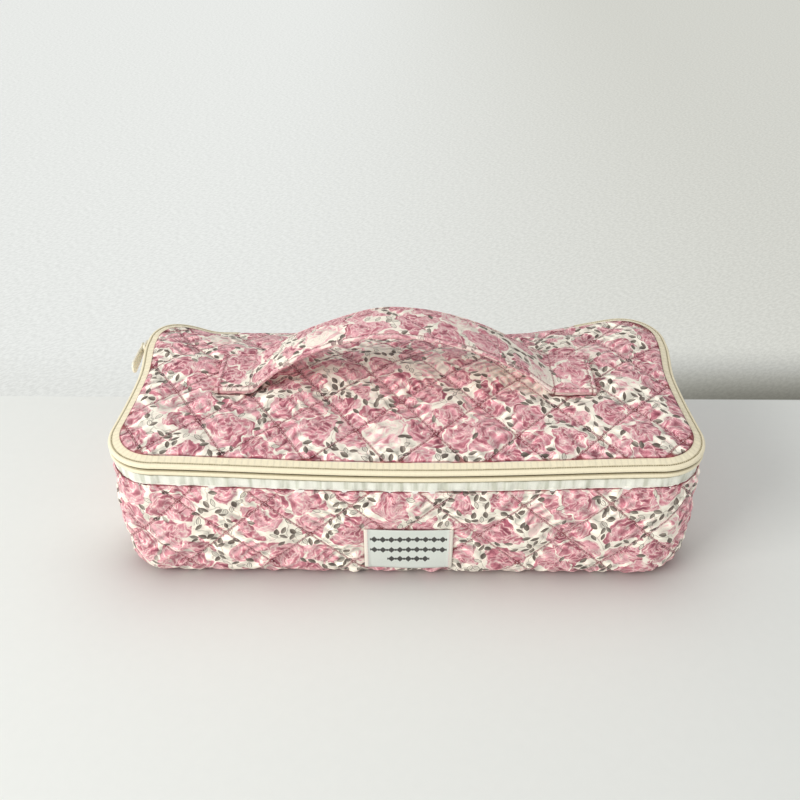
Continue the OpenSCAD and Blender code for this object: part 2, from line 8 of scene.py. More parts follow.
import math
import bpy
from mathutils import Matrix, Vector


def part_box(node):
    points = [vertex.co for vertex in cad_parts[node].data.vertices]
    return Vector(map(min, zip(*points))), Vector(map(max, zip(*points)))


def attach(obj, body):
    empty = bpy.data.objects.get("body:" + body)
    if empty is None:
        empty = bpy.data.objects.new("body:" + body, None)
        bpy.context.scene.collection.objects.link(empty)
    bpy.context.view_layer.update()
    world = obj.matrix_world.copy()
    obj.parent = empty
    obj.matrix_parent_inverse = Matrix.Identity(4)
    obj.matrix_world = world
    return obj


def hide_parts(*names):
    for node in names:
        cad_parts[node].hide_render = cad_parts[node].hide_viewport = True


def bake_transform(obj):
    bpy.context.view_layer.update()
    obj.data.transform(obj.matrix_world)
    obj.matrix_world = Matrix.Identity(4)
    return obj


bl_info = {
    "name": "Quilted Knitting Bag",
    "version": (1, 0, 0),
    "blender": (4, 5, 0),
    "location": "View3D > Sidebar > Knitting Bag",
    "description": "Builds a quilted knitting bag, its zip, label and strap round a packed frame",
    "category": "Add Mesh",
}

import bmesh
import bpy
import numpy as np
from mathutils import Vector, geometry

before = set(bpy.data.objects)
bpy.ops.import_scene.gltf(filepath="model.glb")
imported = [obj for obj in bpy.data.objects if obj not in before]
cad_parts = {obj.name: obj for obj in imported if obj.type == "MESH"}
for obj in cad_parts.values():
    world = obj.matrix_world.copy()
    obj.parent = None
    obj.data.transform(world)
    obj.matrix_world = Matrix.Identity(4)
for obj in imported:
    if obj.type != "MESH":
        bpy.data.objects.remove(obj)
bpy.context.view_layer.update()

MM = 0.001
# Places nearer to each other than this are one place.
SAME = 0.01 * MM


# ---------- sizes read from the frame ----------

def box(node):
    """A node's lowest and highest corners as arrays."""
    low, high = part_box(node)
    return np.array(low), np.array(high)


LOWER_TAPE = box("lower_zip_tape")
UPPER_TAPE = box("upper_zip_tape")
HALF_LENGTH = LOWER_TAPE[1][0]
HALF_DEPTH = LOWER_TAPE[1][1]
SLIT_Z = (LOWER_TAPE[1][2] + UPPER_TAPE[0][2]) / 2
HALF_SLIT = UPPER_TAPE[0][2] - SLIT_Z
LID_EDGE_Z = UPPER_TAPE[1][2]
RIM_Z = box("wall_outer_fabric")[1][2]
LID_SEAM_U = box("lid_outer_fabric")[1][0] - HALF_LENGTH
FABRIC = np.ptp([corner[2] for corner in box("base_outer_fabric")])
BATTING = np.ptp([corner[2] for corner in box("base_batting")])
LINING = np.ptp([corner[2] for corner in box("base_lining")])
THICKNESS = FABRIC + BATTING + LINING
WALL_U = box("wall_batting")[1][0] + FABRIC - HALF_LENGTH
# The soft cloth rolls under more tightly than the frame's wall.
ROLL = 0.69 * (WALL_U + HALF_LENGTH - box("base_outer_fabric")[1][0])
ROLL_U = WALL_U - ROLL
TAIL_X = box("hinge_strip")[1][0]
SLIDER = box("slider_body")
PULL = box("pull_tab")
LABEL = box("label")
LEFT_END = box("handle_left_end")
RIGHT_END = box("handle_right_end")
ARCH = (box("handle_left_bend")[1][0], box("handle_right_bend")[0][0])
LID_TOP_Z = LEFT_END[0][2]
STRAP_THICKNESS = LEFT_END[1][2] - LEFT_END[0][2]
HALF_STRAP = LEFT_END[1][1]
CREST = max((v.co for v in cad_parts["handle_cover"].data.vertices), key=lambda co: co.z)

# Sizes of the zip line and its tapes that the boxes don't give.
CORNER = 30 * MM
RIDGE_HEIGHT = 3.3 * MM
RIDGE_DEPTH = 1.3 * MM
TAPE = 0.6 * MM
TAPE_TUCK = 6 * MM
RIM_DROP = 2.2 * MM

CORE_X = HALF_LENGTH - CORNER
CORE_Y = HALF_DEPTH - CORNER
QUARTER = math.pi / 2 * CORNER
RUNS = [CORE_X, QUARTER, 2 * CORE_Y, QUARTER, 2 * CORE_X, QUARTER, 2 * CORE_Y, QUARTER, CORE_X]
KNOTS = np.concatenate([[0], np.cumsum(RUNS)])
ROUND = KNOTS[-1]
TURNS = np.radians([90, 90, 180, 180, 270, 270, 360, 360, 450, 450])
CORES = np.array([(0, CORE_Y), (-CORE_X, CORE_Y), (-CORE_X, CORE_Y), (-CORE_X, -CORE_Y),
                  (-CORE_X, -CORE_Y), (CORE_X, -CORE_Y), (CORE_X, -CORE_Y),
                  (CORE_X, CORE_Y), (CORE_X, CORE_Y), (0, CORE_Y)])
FRONT_S = ROUND / 2
WALL_STRAIGHT = RIM_Z - ROLL
WALL_DROP = WALL_STRAIGHT + math.pi / 2 * ROLL
PRINT_CLOTH = FABRIC * 0.75
LINING_CLOTH = LINING * 0.8
TABLE_GAP = 0.15 * MM


def linear(code):
    """The linear colour of a six-figure sRGB code."""
    parts = [int(code[i:i + 2], 16) / 255 for i in (0, 2, 4)]
    return tuple(c / 12.92 if c <= 0.04045 else ((c + 0.055) / 1.055) ** 2.4 for c in parts)


# ---------- what a user may change ----------

def length(name, description, default, low, high):
    """A length property in metres."""
    return bpy.props.FloatProperty(name=name, description=description, default=default,
                                   min=low, max=high, subtype="DISTANCE", unit="LENGTH",
                                   precision=4)


def colour(name, description, code):
    """A colour property, given as an sRGB code."""
    return bpy.props.FloatVectorProperty(name=name, description=description, subtype="COLOR",
                                         size=3, default=linear(code), min=0, max=1)


class KnittingBagSizes(bpy.types.PropertyGroup):
    """Sizes of the quilting, the stitches and the sag of the cloth."""

    quilt_pitch: length("Quilting pitch", "Distance between lines of quilting",
                        33.3 * MM, 20 * MM, 60 * MM)
    quilt_steps: bpy.props.IntProperty(name="Cloth fineness", min=4, max=16, default=13,
                                       description="Cloth points between two quilting lines")
    puff_limit: length("Puff limit", "Most that a puff may stand out of its stitching",
                       4 * MM, 1 * MM, 8 * MM)
    puff_pressure: bpy.props.FloatProperty(name="Puff pressure", default=15, min=0, max=60,
                                           description="Pressure that swells the quilting")
    puff_slack: bpy.props.FloatProperty(name="Puff slack", default=0.06, min=0, max=0.2,
                                        subtype="FACTOR",
                                        description="Extra cloth between quilting lines")
    stitch_pitch: length("Stitch pitch", "Distance from one stitch to the next",
                         2.3 * MM, 1 * MM, 5 * MM)
    stitch_length: length("Stitch length", "Length of one stitch that shows",
                          1.9 * MM, 0.5 * MM, 4 * MM)
    stitch_radius: length("Thread radius", "Radius of the sewing thread",
                          0.15 * MM, 0.05 * MM, 0.5 * MM)
    tooth_pitch: length("Tooth pitch", "Distance from one turn of the zip's coil to the next",
                        1.3 * MM, 0.8 * MM, 3 * MM)
    side_bow: length("Side bow", "How far the zip bows in at the middle of each side",
                     4.3 * MM, 0, 8 * MM)
    front_sag: length("Front sag", "How far the zip sags at the middle of the front",
                      3.1 * MM, 0, 6 * MM)
    back_sag: length("Back sag", "How far the lid sags at the middle of the back",
                     11 * MM, 0, 14 * MM)
    back_bow: length("Back bow", "How far the back of the lid pulls in at its middle",
                     6 * MM, 0, 10 * MM)
    side_bulge: length("Side bulge", "How far the short walls belly out", 0.8 * MM, 0, 6 * MM)
    front_bulge: length("Front bulge", "How far the long walls belly out", 0.4 * MM, 0, 6 * MM)
    pucker: length("Pucker height", "Height of the small folds across the quilting lines",
                   1.1 * MM, 0, 2 * MM)
    bloom: length("Bloom size", "Distance between the roses of the print",
                  21 * MM, 10 * MM, 60 * MM)


class KnittingBagColours(bpy.types.PropertyGroup):
    """Colours of the print, the trims and the stage."""

    rose: colour("Rose", "Middle pink of the roses", "D08691")
    rose_deep: colour("Deep rose", "Shaded petals of the roses", "8F4858")
    rose_pale: colour("Pale rose", "Light petals of the roses", "F3BEC3")
    ground: colour("Ground", "Ground of the print", "FFF8E8")
    leaf: colour("Leaf", "Dark leaves of the print", "54463F")
    leaf_pale: colour("Pale leaf", "Light leaves of the print", "A0968A")
    tape: colour("Zip tape", "Woven tape of the zip", "FCF1D2")
    coil: colour("Zip coil", "Nylon coil of the zip", "F1E6C4")
    enamel: colour("Slider enamel", "Enamel of the slider and its pull", "F6EFDA")
    lining: colour("Lining", "Plain cotton lining", "F0E7D6")
    binding: colour("Binding", "Binding over the seams inside", "D79AA6")
    batting: colour("Batting", "Polyester batting", "F4F1EA")
    label: colour("Label", "Woven label", "DFE4DC")
    motif: colour("Label motif", "Motif woven into the label", "2C2826")
    thread: colour("Thread", "Sewing thread", "F3CDD0")
    table: colour("Table", "Surface that the bag stands on", "EDEFEB")
    wall: colour("Backdrop", "Plain backdrop", "E9EBE8")


def sizes():
    return bpy.context.scene.knitting_bag_sizes


def colours():
    return bpy.context.scene.knitting_bag_colours


# ---------- places on the bag ----------

def smooth(t):
    """0 below 0, 1 above 1, and an even slope between."""
    t = np.clip(t, 0, 1)
    return t * t * (3 - 2 * t)


def hump(t):
    """1 at 0, falling with no corner to 0 at 1 and beyond."""
    return np.clip(1 - t * t, 0, None) ** 2


def ripple(s, count, seed):
    """A wave along the zip line with about count crests round the bag, from -1 to 1."""
    random = np.random.default_rng(seed)
    wave = 0
    for share in (0.61, 0.83, 1.0, 1.27, 1.62):
        wave = wave + np.sin(2 * np.pi * np.round(share * count) * s / ROUND
                             + random.uniform(0, 2 * np.pi))
    return wave / 3


def plan(s, u):
    """Points in plan at s along the zip line and u outwards, and the way outwards there."""
    s = np.clip(s, 0, ROUND)
    turn = np.interp(s, KNOTS, TURNS)
    out = np.stack([np.cos(turn), np.sin(turn)], -1)
    core = np.stack([np.interp(s, KNOTS, CORES[:, 0]), np.interp(s, KNOTS, CORES[:, 1])], -1)
    return core + out * np.asarray(CORNER + u)[..., None], out


def zip_u(x, y):
    """How far outwards of the zip chain a point of the plan lies."""
    over_x = np.abs(x) - CORE_X
    over_y = np.abs(y) - CORE_Y
    outside = np.hypot(np.maximum(over_x, 0), np.maximum(over_y, 0))
    return outside + np.minimum(np.maximum(over_x, over_y), 0) - CORNER


FRONT_SAG_REACH = 148 * MM
BACK_SAG = (-172 * MM, 165 * MM)


def settle(co):
    """Points of the bag as sewn, moved to where the soft bag has settled on the table."""
    size = sizes()
    co = np.array(co, float)
    x, y, z = co[..., 0].copy(), co[..., 1].copy(), co[..., 2].copy()
    up = smooth(z / SLIT_Z)
    front = hump(x / FRONT_SAG_REACH) * smooth(-y / HALF_DEPTH) * up
    # The back sags evenly for most of its length, and rises more slowly to the right.
    back = smooth((x - BACK_SAG[0]) / (50 * MM)) * smooth((BACK_SAG[1] - x) / (100 * MM)) * up
    back = back * smooth((y / HALF_DEPTH - 0.1) / 0.9)
    # The sides bow in up to the slider, which stays on its straight line.
    reach = np.where(y > 0, (SLIDER[0][1] + SLIDER[1][1]) / 2, 1.1 * HALF_DEPTH)
    co[..., 0] -= x / HALF_LENGTH * size.side_bow * hump(y / reach) * up
    co[..., 1] -= 1.5 * MM * front + size.back_bow * back
    co[..., 2] -= size.front_sag * front + size.back_sag * back
    return co


def rim_gathers(s, t):
    """Folds where the wall's cloth is gathered into the rim, fading down the wall."""
    return ripple(s, 150, 3) * np.exp(-np.maximum(t - RIM_DROP, 0) / (7 * MM))


def wall_point(s, t, depth=0.0):
    """Points on the wall at a depth below its face, and the way out of the wall there."""
    size = sizes()
    bend = np.clip((t - WALL_STRAIGHT) / ROLL, 0, math.pi / 2)
    u = ROLL_U + ROLL * np.cos(bend)
    z = np.where(t < WALL_STRAIGHT, RIM_Z - t, ROLL - ROLL * np.sin(bend))
    flat, out = plan(s, 0 * u)
    ends = np.abs(out[..., 0])
    back = np.clip(out[..., 1], 0, 1)
    belly = size.front_bulge + (size.side_bulge - size.front_bulge) * ends ** 2
    belly = belly * (1 - 0.7 * back) * np.sin(np.pi * np.clip(t / WALL_DROP, 0, 1)) ** 1.3
    gather = 0.7 * MM * rim_gathers(s, t) * (1 - back) * (depth < THICKNESS / 2)
    reach = u + belly + gather - depth * np.cos(bend)
    flat, out = plan(s, reach)
    normal = np.concatenate([out * np.cos(bend)[..., None], -np.sin(bend)[..., None]], -1)
    height = z + depth * np.sin(bend)
    return np.concatenate([flat, height[..., None]], -1), normal


def lid_height(u):
    """Height of the lid's upper face at a distance u outwards of the zip chain."""
    swell = LID_TOP_Z - LID_EDGE_Z - FABRIC
    t = np.clip((u + CORNER) / (CORNER + LID_SEAM_U), 0, 1)
    return LID_TOP_Z - swell * (1 - np.cos(math.pi * t)) / 2


def lid_point(x, y, depth=0.0):
    """Points on the lid at a depth below its upper face, and the way up."""
    z = lid_height(zip_u(x, y)) - depth
    up = np.zeros(x.shape + (3,))
    up[..., 2] = 1
    return np.stack([x, y, z], -1), up


# ---------- meshes ----------

def link(mesh, name):
    """A new object of a mesh, in the scene."""
    obj = bpy.data.objects.new(name, mesh)
    bpy.context.scene.collection.objects.link(obj)
    return obj


def reshape(mesh, work):
    """Runs some work on a mesh's points and faces, and keeps the result."""
    shell = bmesh.new()
    shell.from_mesh(mesh)
    work(shell)
    shell.to_mesh(mesh)
    shell.free()


def face_outwards(mesh):
    """Turns the faces of a closed mesh outwards."""
    reshape(mesh, lambda shell: bmesh.ops.recalc_face_normals(shell, faces=shell.faces[:]))


def cloth_map(mesh, values):
    """Gives a mesh its cloth places, one pair for each face corner."""
    layer = mesh.uv_layers.new(name="Cloth")
    layer.data.foreach_set("uv", np.asarray(values, np.float32).ravel())


def band(name, co, along, across, closed=False):
    """A closed section swept along a path, with its ends capped or joined to each other.

    co holds the points, section by section. along and across are their cloth places, and
    each has one value more where the band or the section comes back to its start.
    """
    rows, cols = co.shape[:2]
    steps = rows if closed else rows - 1
    faces, places = [], []
    for i in range(steps):
        k = (i + 1) % rows
        for j in range(cols):
            m = (j + 1) % cols
            faces.append((i * cols + j, i * cols + m, k * cols + m, k * cols + j))
            places += [(along[i], across[j]), (along[i], across[j + 1]),
                       (along[i + 1], across[j + 1]), (along[i + 1], across[j])]
    if not closed:
        for i in (0, rows - 1):
            faces.append([i * cols + j for j in range(cols)])
            places += [(along[i] + 0.3 * across[j], across[j]) for j in range(cols)]
    mesh = bpy.data.meshes.new(name)
    mesh.from_pydata(co.reshape(-1, 3).tolist(), [], faces)
    cloth_map(mesh, places)
    mesh.shade_smooth()
    if not closed:
        for polygon in mesh.polygons[-2:]:
            polygon.use_smooth = False
    face_outwards(mesh)
    return link(mesh, name)


def section_lengths(profile):
    """Distance along a closed section at each point, and at its start again."""
    loop = np.vstack([profile, profile[:1]])
    return np.concatenate([[0], np.cumsum(np.linalg.norm(np.diff(loop, axis=0), axis=1))])


def round_band(name, profile, start=0.0, end=ROUND, step=1.8 * MM, shift=None, **marks):
    """A section of [u, z] points swept along the zip line from start to end.

    shift gives, for each place s and each point of the section, what is added to u and z.
    marks name values of the section's points that the material reads.
    """
    closed = end - start > ROUND - MM
    count = int(round((end - start) / step))
    s = np.linspace(start, end, count + 1)
    rows = s[:-1] if closed else s
    profile = np.asarray(profile, float)
    u = np.broadcast_to(profile[:, 0], (len(rows), len(profile))).copy()
    z = np.broadcast_to(profile[:, 1], (len(rows), len(profile))).copy()
    if shift:
        du, dz = shift(rows[:, None], profile)
        u += du
        z += dz
    flat, _ = plan(np.broadcast_to(rows[:, None], u.shape), u)
    co = settle(np.concatenate([flat, z[..., None]], -1))
    obj = band(name, co, s, section_lengths(profile), closed)
    for label, values in marks.items():
        mark(obj.data, np.broadcast_to(values, u.shape).ravel(), label)
    return obj


def evaluated(obj):
    """The mesh that an object's modifiers make, as a plain mesh in the object's place."""
    graph = bpy.context.evaluated_depsgraph_get()
    mesh = bpy.data.meshes.new_from_object(obj.evaluated_get(graph), depsgraph=graph)
    obj.modifiers.clear()
    old = obj.data
    obj.data = mesh
    bpy.data.meshes.remove(old)
    return mesh


def coordinates(mesh):
    """A mesh's points as an array."""
    co = np.empty(len(mesh.vertices) * 3)
    mesh.vertices.foreach_get("co", co)
    return co.reshape(-1, 3)


def set_coordinates(mesh, co):
    mesh.vertices.foreach_set("co", np.asarray(co, float).ravel())
    mesh.update()


def refine(obj):
    """One subdivision, as a plain mesh. The first points keep their numbers."""
    modifier = obj.modifiers.new("Smooth", "SUBSURF")
    modifier.levels = 1
    modifier.render_levels = 1
    modifier.boundary_smooth = "PRESERVE_CORNERS"
    return evaluated(obj)


def thicken(obj, thickness):
    """Gives a sheet its thickness, inwards from its face, as a plain closed mesh."""
    modifier = obj.modifiers.new("Thickness", "SOLIDIFY")
    modifier.thickness = thickness
    modifier.offset = -1
    mesh = evaluated(obj)
    mesh.shade_smooth()
    return mesh


def finish_piece(obj, body, slot, *nodes):
    """Gives a piece its finish, its body and the frame's nodes that it stands for."""
    obj.data.materials.clear()
    obj.data.materials.append(material(slot))
    if body:
        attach(obj, body)
    if nodes:
        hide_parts(*nodes)
    return obj


# ---------- quilted cloth ----------

# How far the painted shade of a crease reaches from it.
CREASE_SHADE_REACH = 6 * MM
# A line of stitches stops where its points lie further apart than this.
LONGEST_EDGE = 6 * MM


class Lattice:
    """Two sets of straight quilting lines on the flat cloth."""

    def __init__(self, angles, pitches, offsets):
        self.normals = np.array([(math.cos(a), math.sin(a)) for a in np.radians(angles)])
        self.pitches = np.array(pitches)
        self.offsets = np.array(offsets)

    def counts(self, places):
        """How many pitches each place lies past the first line of each set."""
        return (places @ self.normals.T - self.offsets) / self.pitches

    def distances(self, places):
        """Distance of each place from the nearest line of each set."""
        counts = self.counts(places)
        return np.abs(counts - np.round(counts)) * self.pitches

    def puff(self, places):
        """Height of a pillow, from 0 on the lines to 1 in the middle of a diamond."""
        waves = np.abs(np.sin(math.pi * self.counts(places)))
        return (waves[..., 0] * waves[..., 1]) ** 0.55


def wall_lattice():
    pitch = sizes().quilt_pitch
    return Lattice((45, -45), (pitch, pitch),
                   ((FRONT_S - 16.6 * MM) / math.sqrt(2), (FRONT_S + 4 * MM) / math.sqrt(2)))


def lid_lattice():
    pitch = sizes().quilt_pitch
    return Lattice((36, 133), (1.04 * pitch, 0.97 * pitch), (18.7 * MM, -15.75 * MM))


def polyline(points, step):
    """Even points along the straight stretches between corners of a closed outline."""
    points = np.asarray(points, float)
    parts = []
    for a, b in zip(points, np.roll(points, -1, axis=0)):
        count = max(1, int(round(np.linalg.norm(b - a) / step)))
        parts.append(a + (b - a) * np.arange(count)[:, None] / count)
    return np.vstack(parts)


class Quilt:
    """A flat piece of quilted cloth: points, faces, held points and stitching lines."""

    def __init__(self, outline, lattice, steps, room, rows=(), held=None):
        """room gives the distance of places inside the outline. rows are more held points."""
        step = lattice.pitches.min() / steps
        reach = (outline @ lattice.normals.T - lattice.offsets) / lattice.pitches * steps
        first, last = np.floor(reach.min(0)).astype(int), np.ceil(reach.max(0)).astype(int)
        i, j = np.meshgrid(np.arange(first[0], last[0] + 1),
                           np.arange(first[1], last[1] + 1), indexing="ij")
        index = np.stack([i.ravel(), j.ravel()], -1)
        lines = lattice.offsets + index * lattice.pitches / steps
        places = lines @ np.linalg.inv(lattice.normals).T
        rows = np.asarray(rows, float).reshape(-1, 2)
        clear = room(places) > 0.45 * step
        for t in np.unique(rows[:, 1]) if len(rows) else ():
            clear &= np.abs(places[:, 1] - t) > 0.5 * step
        places, index = places[clear], index[clear]
        given = np.vstack([outline, rows, places])
        ring = [(k, (k + 1) % len(outline)) for k in range(len(outline))]
        found = geometry.delaunay_2d_cdt([Vector(p) for p in given], ring, [], 1, 1e-7, True)
        points, _, faces, sources = found[:4]
        self.places = np.array([tuple(p) for p in points])
        self.faces = faces
        self.lattice = lattice
        start = len(outline) + len(rows)
        number = {source: k for k, group in enumerate(sources) for source in group}
        on_line = (index % steps == 0).any(1)
        self.pinned = np.array([min(group) < start or on_line[min(group) - start]
                                for group in sources])
        if held:
            self.pinned |= held(self.places)
        self.lines = []
        for side in (0, 1):
            for line in np.unique(index[index[:, side] % steps == 0, side]):
                chosen = np.flatnonzero(index[:, side] == line)
                chosen = chosen[np.argsort(index[chosen, 1 - side])]
                self.lines.append([number[start + k] for k in chosen])
        self.step = step

    def mesh(self, name, surface):
        """A mesh of the cloth laid on a surface, in quads where its points allow it."""
        flat = bpy.data.meshes.new(name)
        flat.from_pydata([(p[0], p[1], 0) for p in self.places], [], self.faces)
        reshape(flat, lambda cloth: bmesh.ops.join_triangles(
            cloth, faces=cloth.faces[:], angle_face_threshold=math.pi,
            angle_shape_threshold=math.radians(40)))
        corner = np.empty(len(flat.loops), int)
        flat.loops.foreach_get("vertex_index", corner)
        cloth_map(flat, self.places[corner])
        co, normals = surface(self.places)
        set_coordinates(flat, co)
        obj = link(flat, name)
        if np.dot(np.array(flat.polygons[0].normal), normals[flat.polygons[0].vertices[0]]) < 0:
            flat.flip_normals()
        flat.shade_smooth()
        return obj, co, normals


def swell_cloth(obj, pinned):
    """Swells quilted cloth by cloth simulation: held at its stitching, pushed out between."""
    size = sizes()
    group = obj.vertex_groups.new(name="stitched")
    group.add(np.flatnonzero(pinned).tolist(), 1.0, "REPLACE")
    modifier = obj.modifiers.new("Cloth", "CLOTH")
    cloth = modifier.settings
    cloth.vertex_group_mass = group.name
    cloth.quality = 6
    cloth.mass = 0.3
    cloth.tension_stiffness = 15
    cloth.compression_stiffness = 15
    cloth.shear_stiffness = 5
    cloth.bending_stiffness = 0.3
    cloth.air_damping = 1
    cloth.use_pressure = True
    cloth.uniform_pressure_force = size.puff_pressure
    cloth.shrink_min = -size.puff_slack
    cloth.effector_weights.gravity = 0
    modifier.collision_settings.use_collision = False
    last_frame = 25
    for number in range(1, last_frame + 1):
        bpy.context.scene.frame_set(number)
    evaluated(obj)
    bpy.context.scene.frame_set(1)
    obj.vertex_groups.clear()


def puckers(quilt):
    """Height of the small folds that run across each quilting line and fade away from it."""
    places, lattice = quilt.places, quilt.lattice
    counts, distance = lattice.counts(places), lattice.distances(places)
    along = places @ np.column_stack([-lattice.normals[:, 1], lattice.normals[:, 0]]).T
    height = 0
    for side in (0, 1):
        d, a = distance[:, side], along[:, side]
        line = np.round(counts[:, side])
        wander = 1.3 * np.sin(a / (11 * MM) + 2.1 * line) + np.sin(a / (5 * MM) - 1.3 * line)
        wave = np.sin(2 * np.pi * a / (7 * MM) + 1.4 * wander)
        wave = wave * (0.65 + 0.35 * np.sin(a / (17 * MM) + 3.7 * line + side))
        height = height + wave * (d / (3.6 * MM)) * np.exp(1 - d / (3.6 * MM))
    return height


def near(distance):
    """1 on a crease, falling evenly to 0 where the painted crease shade stops darkening the
    cloth.
    """
    return np.clip(1 - distance / CREASE_SHADE_REACH, 0, 1)


def mark(mesh, values, name="Crease"):
    """Stores for its material how near to a crease each point of a mesh lies, for painted shade.
    """
    layer = mesh.attributes.new(name, "FLOAT", "POINT")
    layer.data.foreach_set("value", np.asarray(values, np.float32))


def swollen(obj, quilt, co, normals, seam, gathers, press=None):
    """Swells a quilt and keeps each point within the puff limit, or a press's share of it.

    seam holds the distance of each point from a seam. gathers are folds beside the seams.
    """
    size = sizes()
    swell_cloth(obj, quilt.pinned)
    move = coordinates(obj.data) - co
    limit = size.puff_limit * (press(quilt.places) if press else np.ones(len(co)))
    rise = (move * normals).sum(1)
    slide = move - normals * rise[:, None]
    full = 0.8 * limit * quilt.lattice.puff(quilt.places) * ~quilt.pinned
    rise = 0.5 * full + 0.6 * limit * np.tanh(np.maximum(rise, 0) / limit)
    folds = puckers(quilt) * np.minimum(1, full / MM)
    rise = rise + size.pucker * folds
    lines = quilt.lattice.distances(quilt.places).min(1)
    # Painted shade along the quilting lines and seams, and painted light and shade on the small
    # folds.
    mark(obj.data, np.maximum(near(lines), near(seam)))
    mark(obj.data, folds + gathers, "Fold")
    return co + 0.6 * slide + normals * rise[:, None]


def stitch_lines(name, points, lines, skip=None):
    """An object of edges that follow lines of points, given by their numbers."""
    kept, edges = [], []
    for line in lines:
        last = None
        for k in line:
            if skip is not None and skip[k]:
                last = None
                continue
            kept.append(points[k])
            if last is not None and np.linalg.norm(kept[last] - points[k]) < LONGEST_EDGE:
                edges.append((last, len(kept) - 1))
            last = len(kept) - 1
    mesh = bpy.data.meshes.new(name)
    mesh.from_pydata([tuple(p) for p in kept], edges, [])
    return link(mesh, name)


# ---------- geometry nodes ----------

class Nodes:
    """Adds nodes to a tree and joins them in few words."""

    def __init__(self, tree):
        self.tree = tree

    def feed(self, socket, value):
        if isinstance(value, bpy.types.NodeSocket):
            self.tree.links.new(value, socket)
        elif value is not None:
            if socket.type == "VECTOR":
                value = tuple(value)[:3]
            socket.default_value = value

    def add(self, kind, inputs=None, **settings):
        node = self.tree.nodes.new(kind)
        for key, value in settings.items():
            setattr(node, key, value)
        for key, value in (inputs or {}).items():
            self.feed(node.inputs[key], value)
        return node

    def give(self, node, **values):
        """Feeds a node's inputs by name, with _ for a space."""
        for key, value in values.items():
            self.feed(node.inputs[key.replace("_", " ")], value)

    def math(self, operation, a, b=None, c=None, clamp=False):
        node = self.add("ShaderNodeMath", {0: a, 1: b, 2: c}, operation=operation)
        node.use_clamp = clamp
        return node.outputs[0]

    def times(self, a, b, clamp=False):
        return self.math("MULTIPLY", a, b, clamp=clamp)

    def over(self, a, b):
        return self.math("DIVIDE", a, b)

    def plus(self, a, b):
        return self.math("ADD", a, b)

    def minus(self, a, b):
        return self.math("SUBTRACT", a, b)

    def times_plus(self, a, b, c):
        return self.math("MULTIPLY_ADD", a, b, c)

    def absolute(self, a):
        return self.math("ABSOLUTE", a)

    def sine(self, a):
        return self.math("SINE", a)

    def largest(self, a, b):
        return self.math("MAXIMUM", a, b)

    def vector(self, operation, a, b=None, scale=None):
        node = self.add("ShaderNodeVectorMath", {0: a, 1: b}, operation=operation)
        if scale is not None:
            self.feed(node.inputs["Scale"], scale)
        return node.outputs["Value" if operation == "LENGTH" else "Vector"]

    def scaled(self, vector, scale):
        return self.vector("SCALE", vector, scale=scale)

    def step(self, value, low, high, start=0.0, end=1.0):
        """A smooth step of a value from start at low to end at high."""
        node = self.add("ShaderNodeMapRange", {"Value": value, "From Min": low,
                                               "From Max": high, "To Min": start,
                                               "To Max": end},
                        interpolation_type="SMOOTHSTEP")
        return node.outputs["Result"]

    def mix(self, factor, a, b):
        node = self.add("ShaderNodeMix", {0: factor, 6: a, 7: b}, data_type="RGBA")
        return node.outputs[2]

    def noise(self, vector, scale, detail=2.0, roughness=0.5, output="Fac", flat=True):
        node = self.add("ShaderNodeTexNoise", {"Vector": vector, "Scale": scale,
                                               "Detail": detail, "Roughness": roughness},
                        noise_dimensions="2D" if flat else "3D")
        return node.outputs[output]

    def cells(self, vector, scale, randomness=1.0, feature="F1", flat=True):
        node = self.add("ShaderNodeTexVoronoi", {"Vector": vector, "Scale": scale,
                                                 "Randomness": randomness},
                        voronoi_dimensions="2D" if flat else "3D", feature=feature)
        return node

    def split(self, vector):
        return self.add("ShaderNodeSeparateXYZ", {0: vector}).outputs

    def join(self, x, y, z=0.0):
        return self.add("ShaderNodeCombineXYZ", {0: x, 1: y, 2: z}).outputs[0]

    def turned(self, vector, angle):
        """A vector turned about the third axis."""
        return self.add("ShaderNodeVectorRotate", {"Vector": vector, "Angle": angle,
                                                   "Axis": (0, 0, 1)}).outputs[0]

    def attribute(self, name):
        return self.add("ShaderNodeAttribute", attribute_name=name).outputs["Fac"]

    def group(self, name, make, **inputs):
        node = self.add("ShaderNodeGroup", {}, node_tree=tree(name, make))
        self.give(node, **inputs)
        return node

    def bump(self, height, strength, distance, normal=None):
        node = self.add("ShaderNodeBump", {"Height": height, "Strength": strength,
                                           "Distance": distance, "Normal": normal})
        return node.outputs["Normal"]

    def transformed(self, geometry, **inputs):
        node = self.add("GeometryNodeTransform", {"Geometry": geometry, **inputs})
        return node.outputs["Geometry"]


def new_group(name, kind, inputs, outputs):
    """A node group with named sockets, each given by its type or by a number's default."""
    group = bpy.data.node_groups.new(name, kind)
    for in_out, sockets in (("INPUT", inputs), ("OUTPUT", outputs)):
        for label, value in sockets.items():
            number = not isinstance(value, str)
            socket_type = "NodeSocket" + ("Float" if number else value)
            socket = group.interface.new_socket(name=label, in_out=in_out,
                                                socket_type=socket_type)
            if number:
                socket.default_value = value
    nodes = Nodes(group)
    return group, nodes, nodes.add("NodeGroupInput").outputs, nodes.add("NodeGroupOutput")


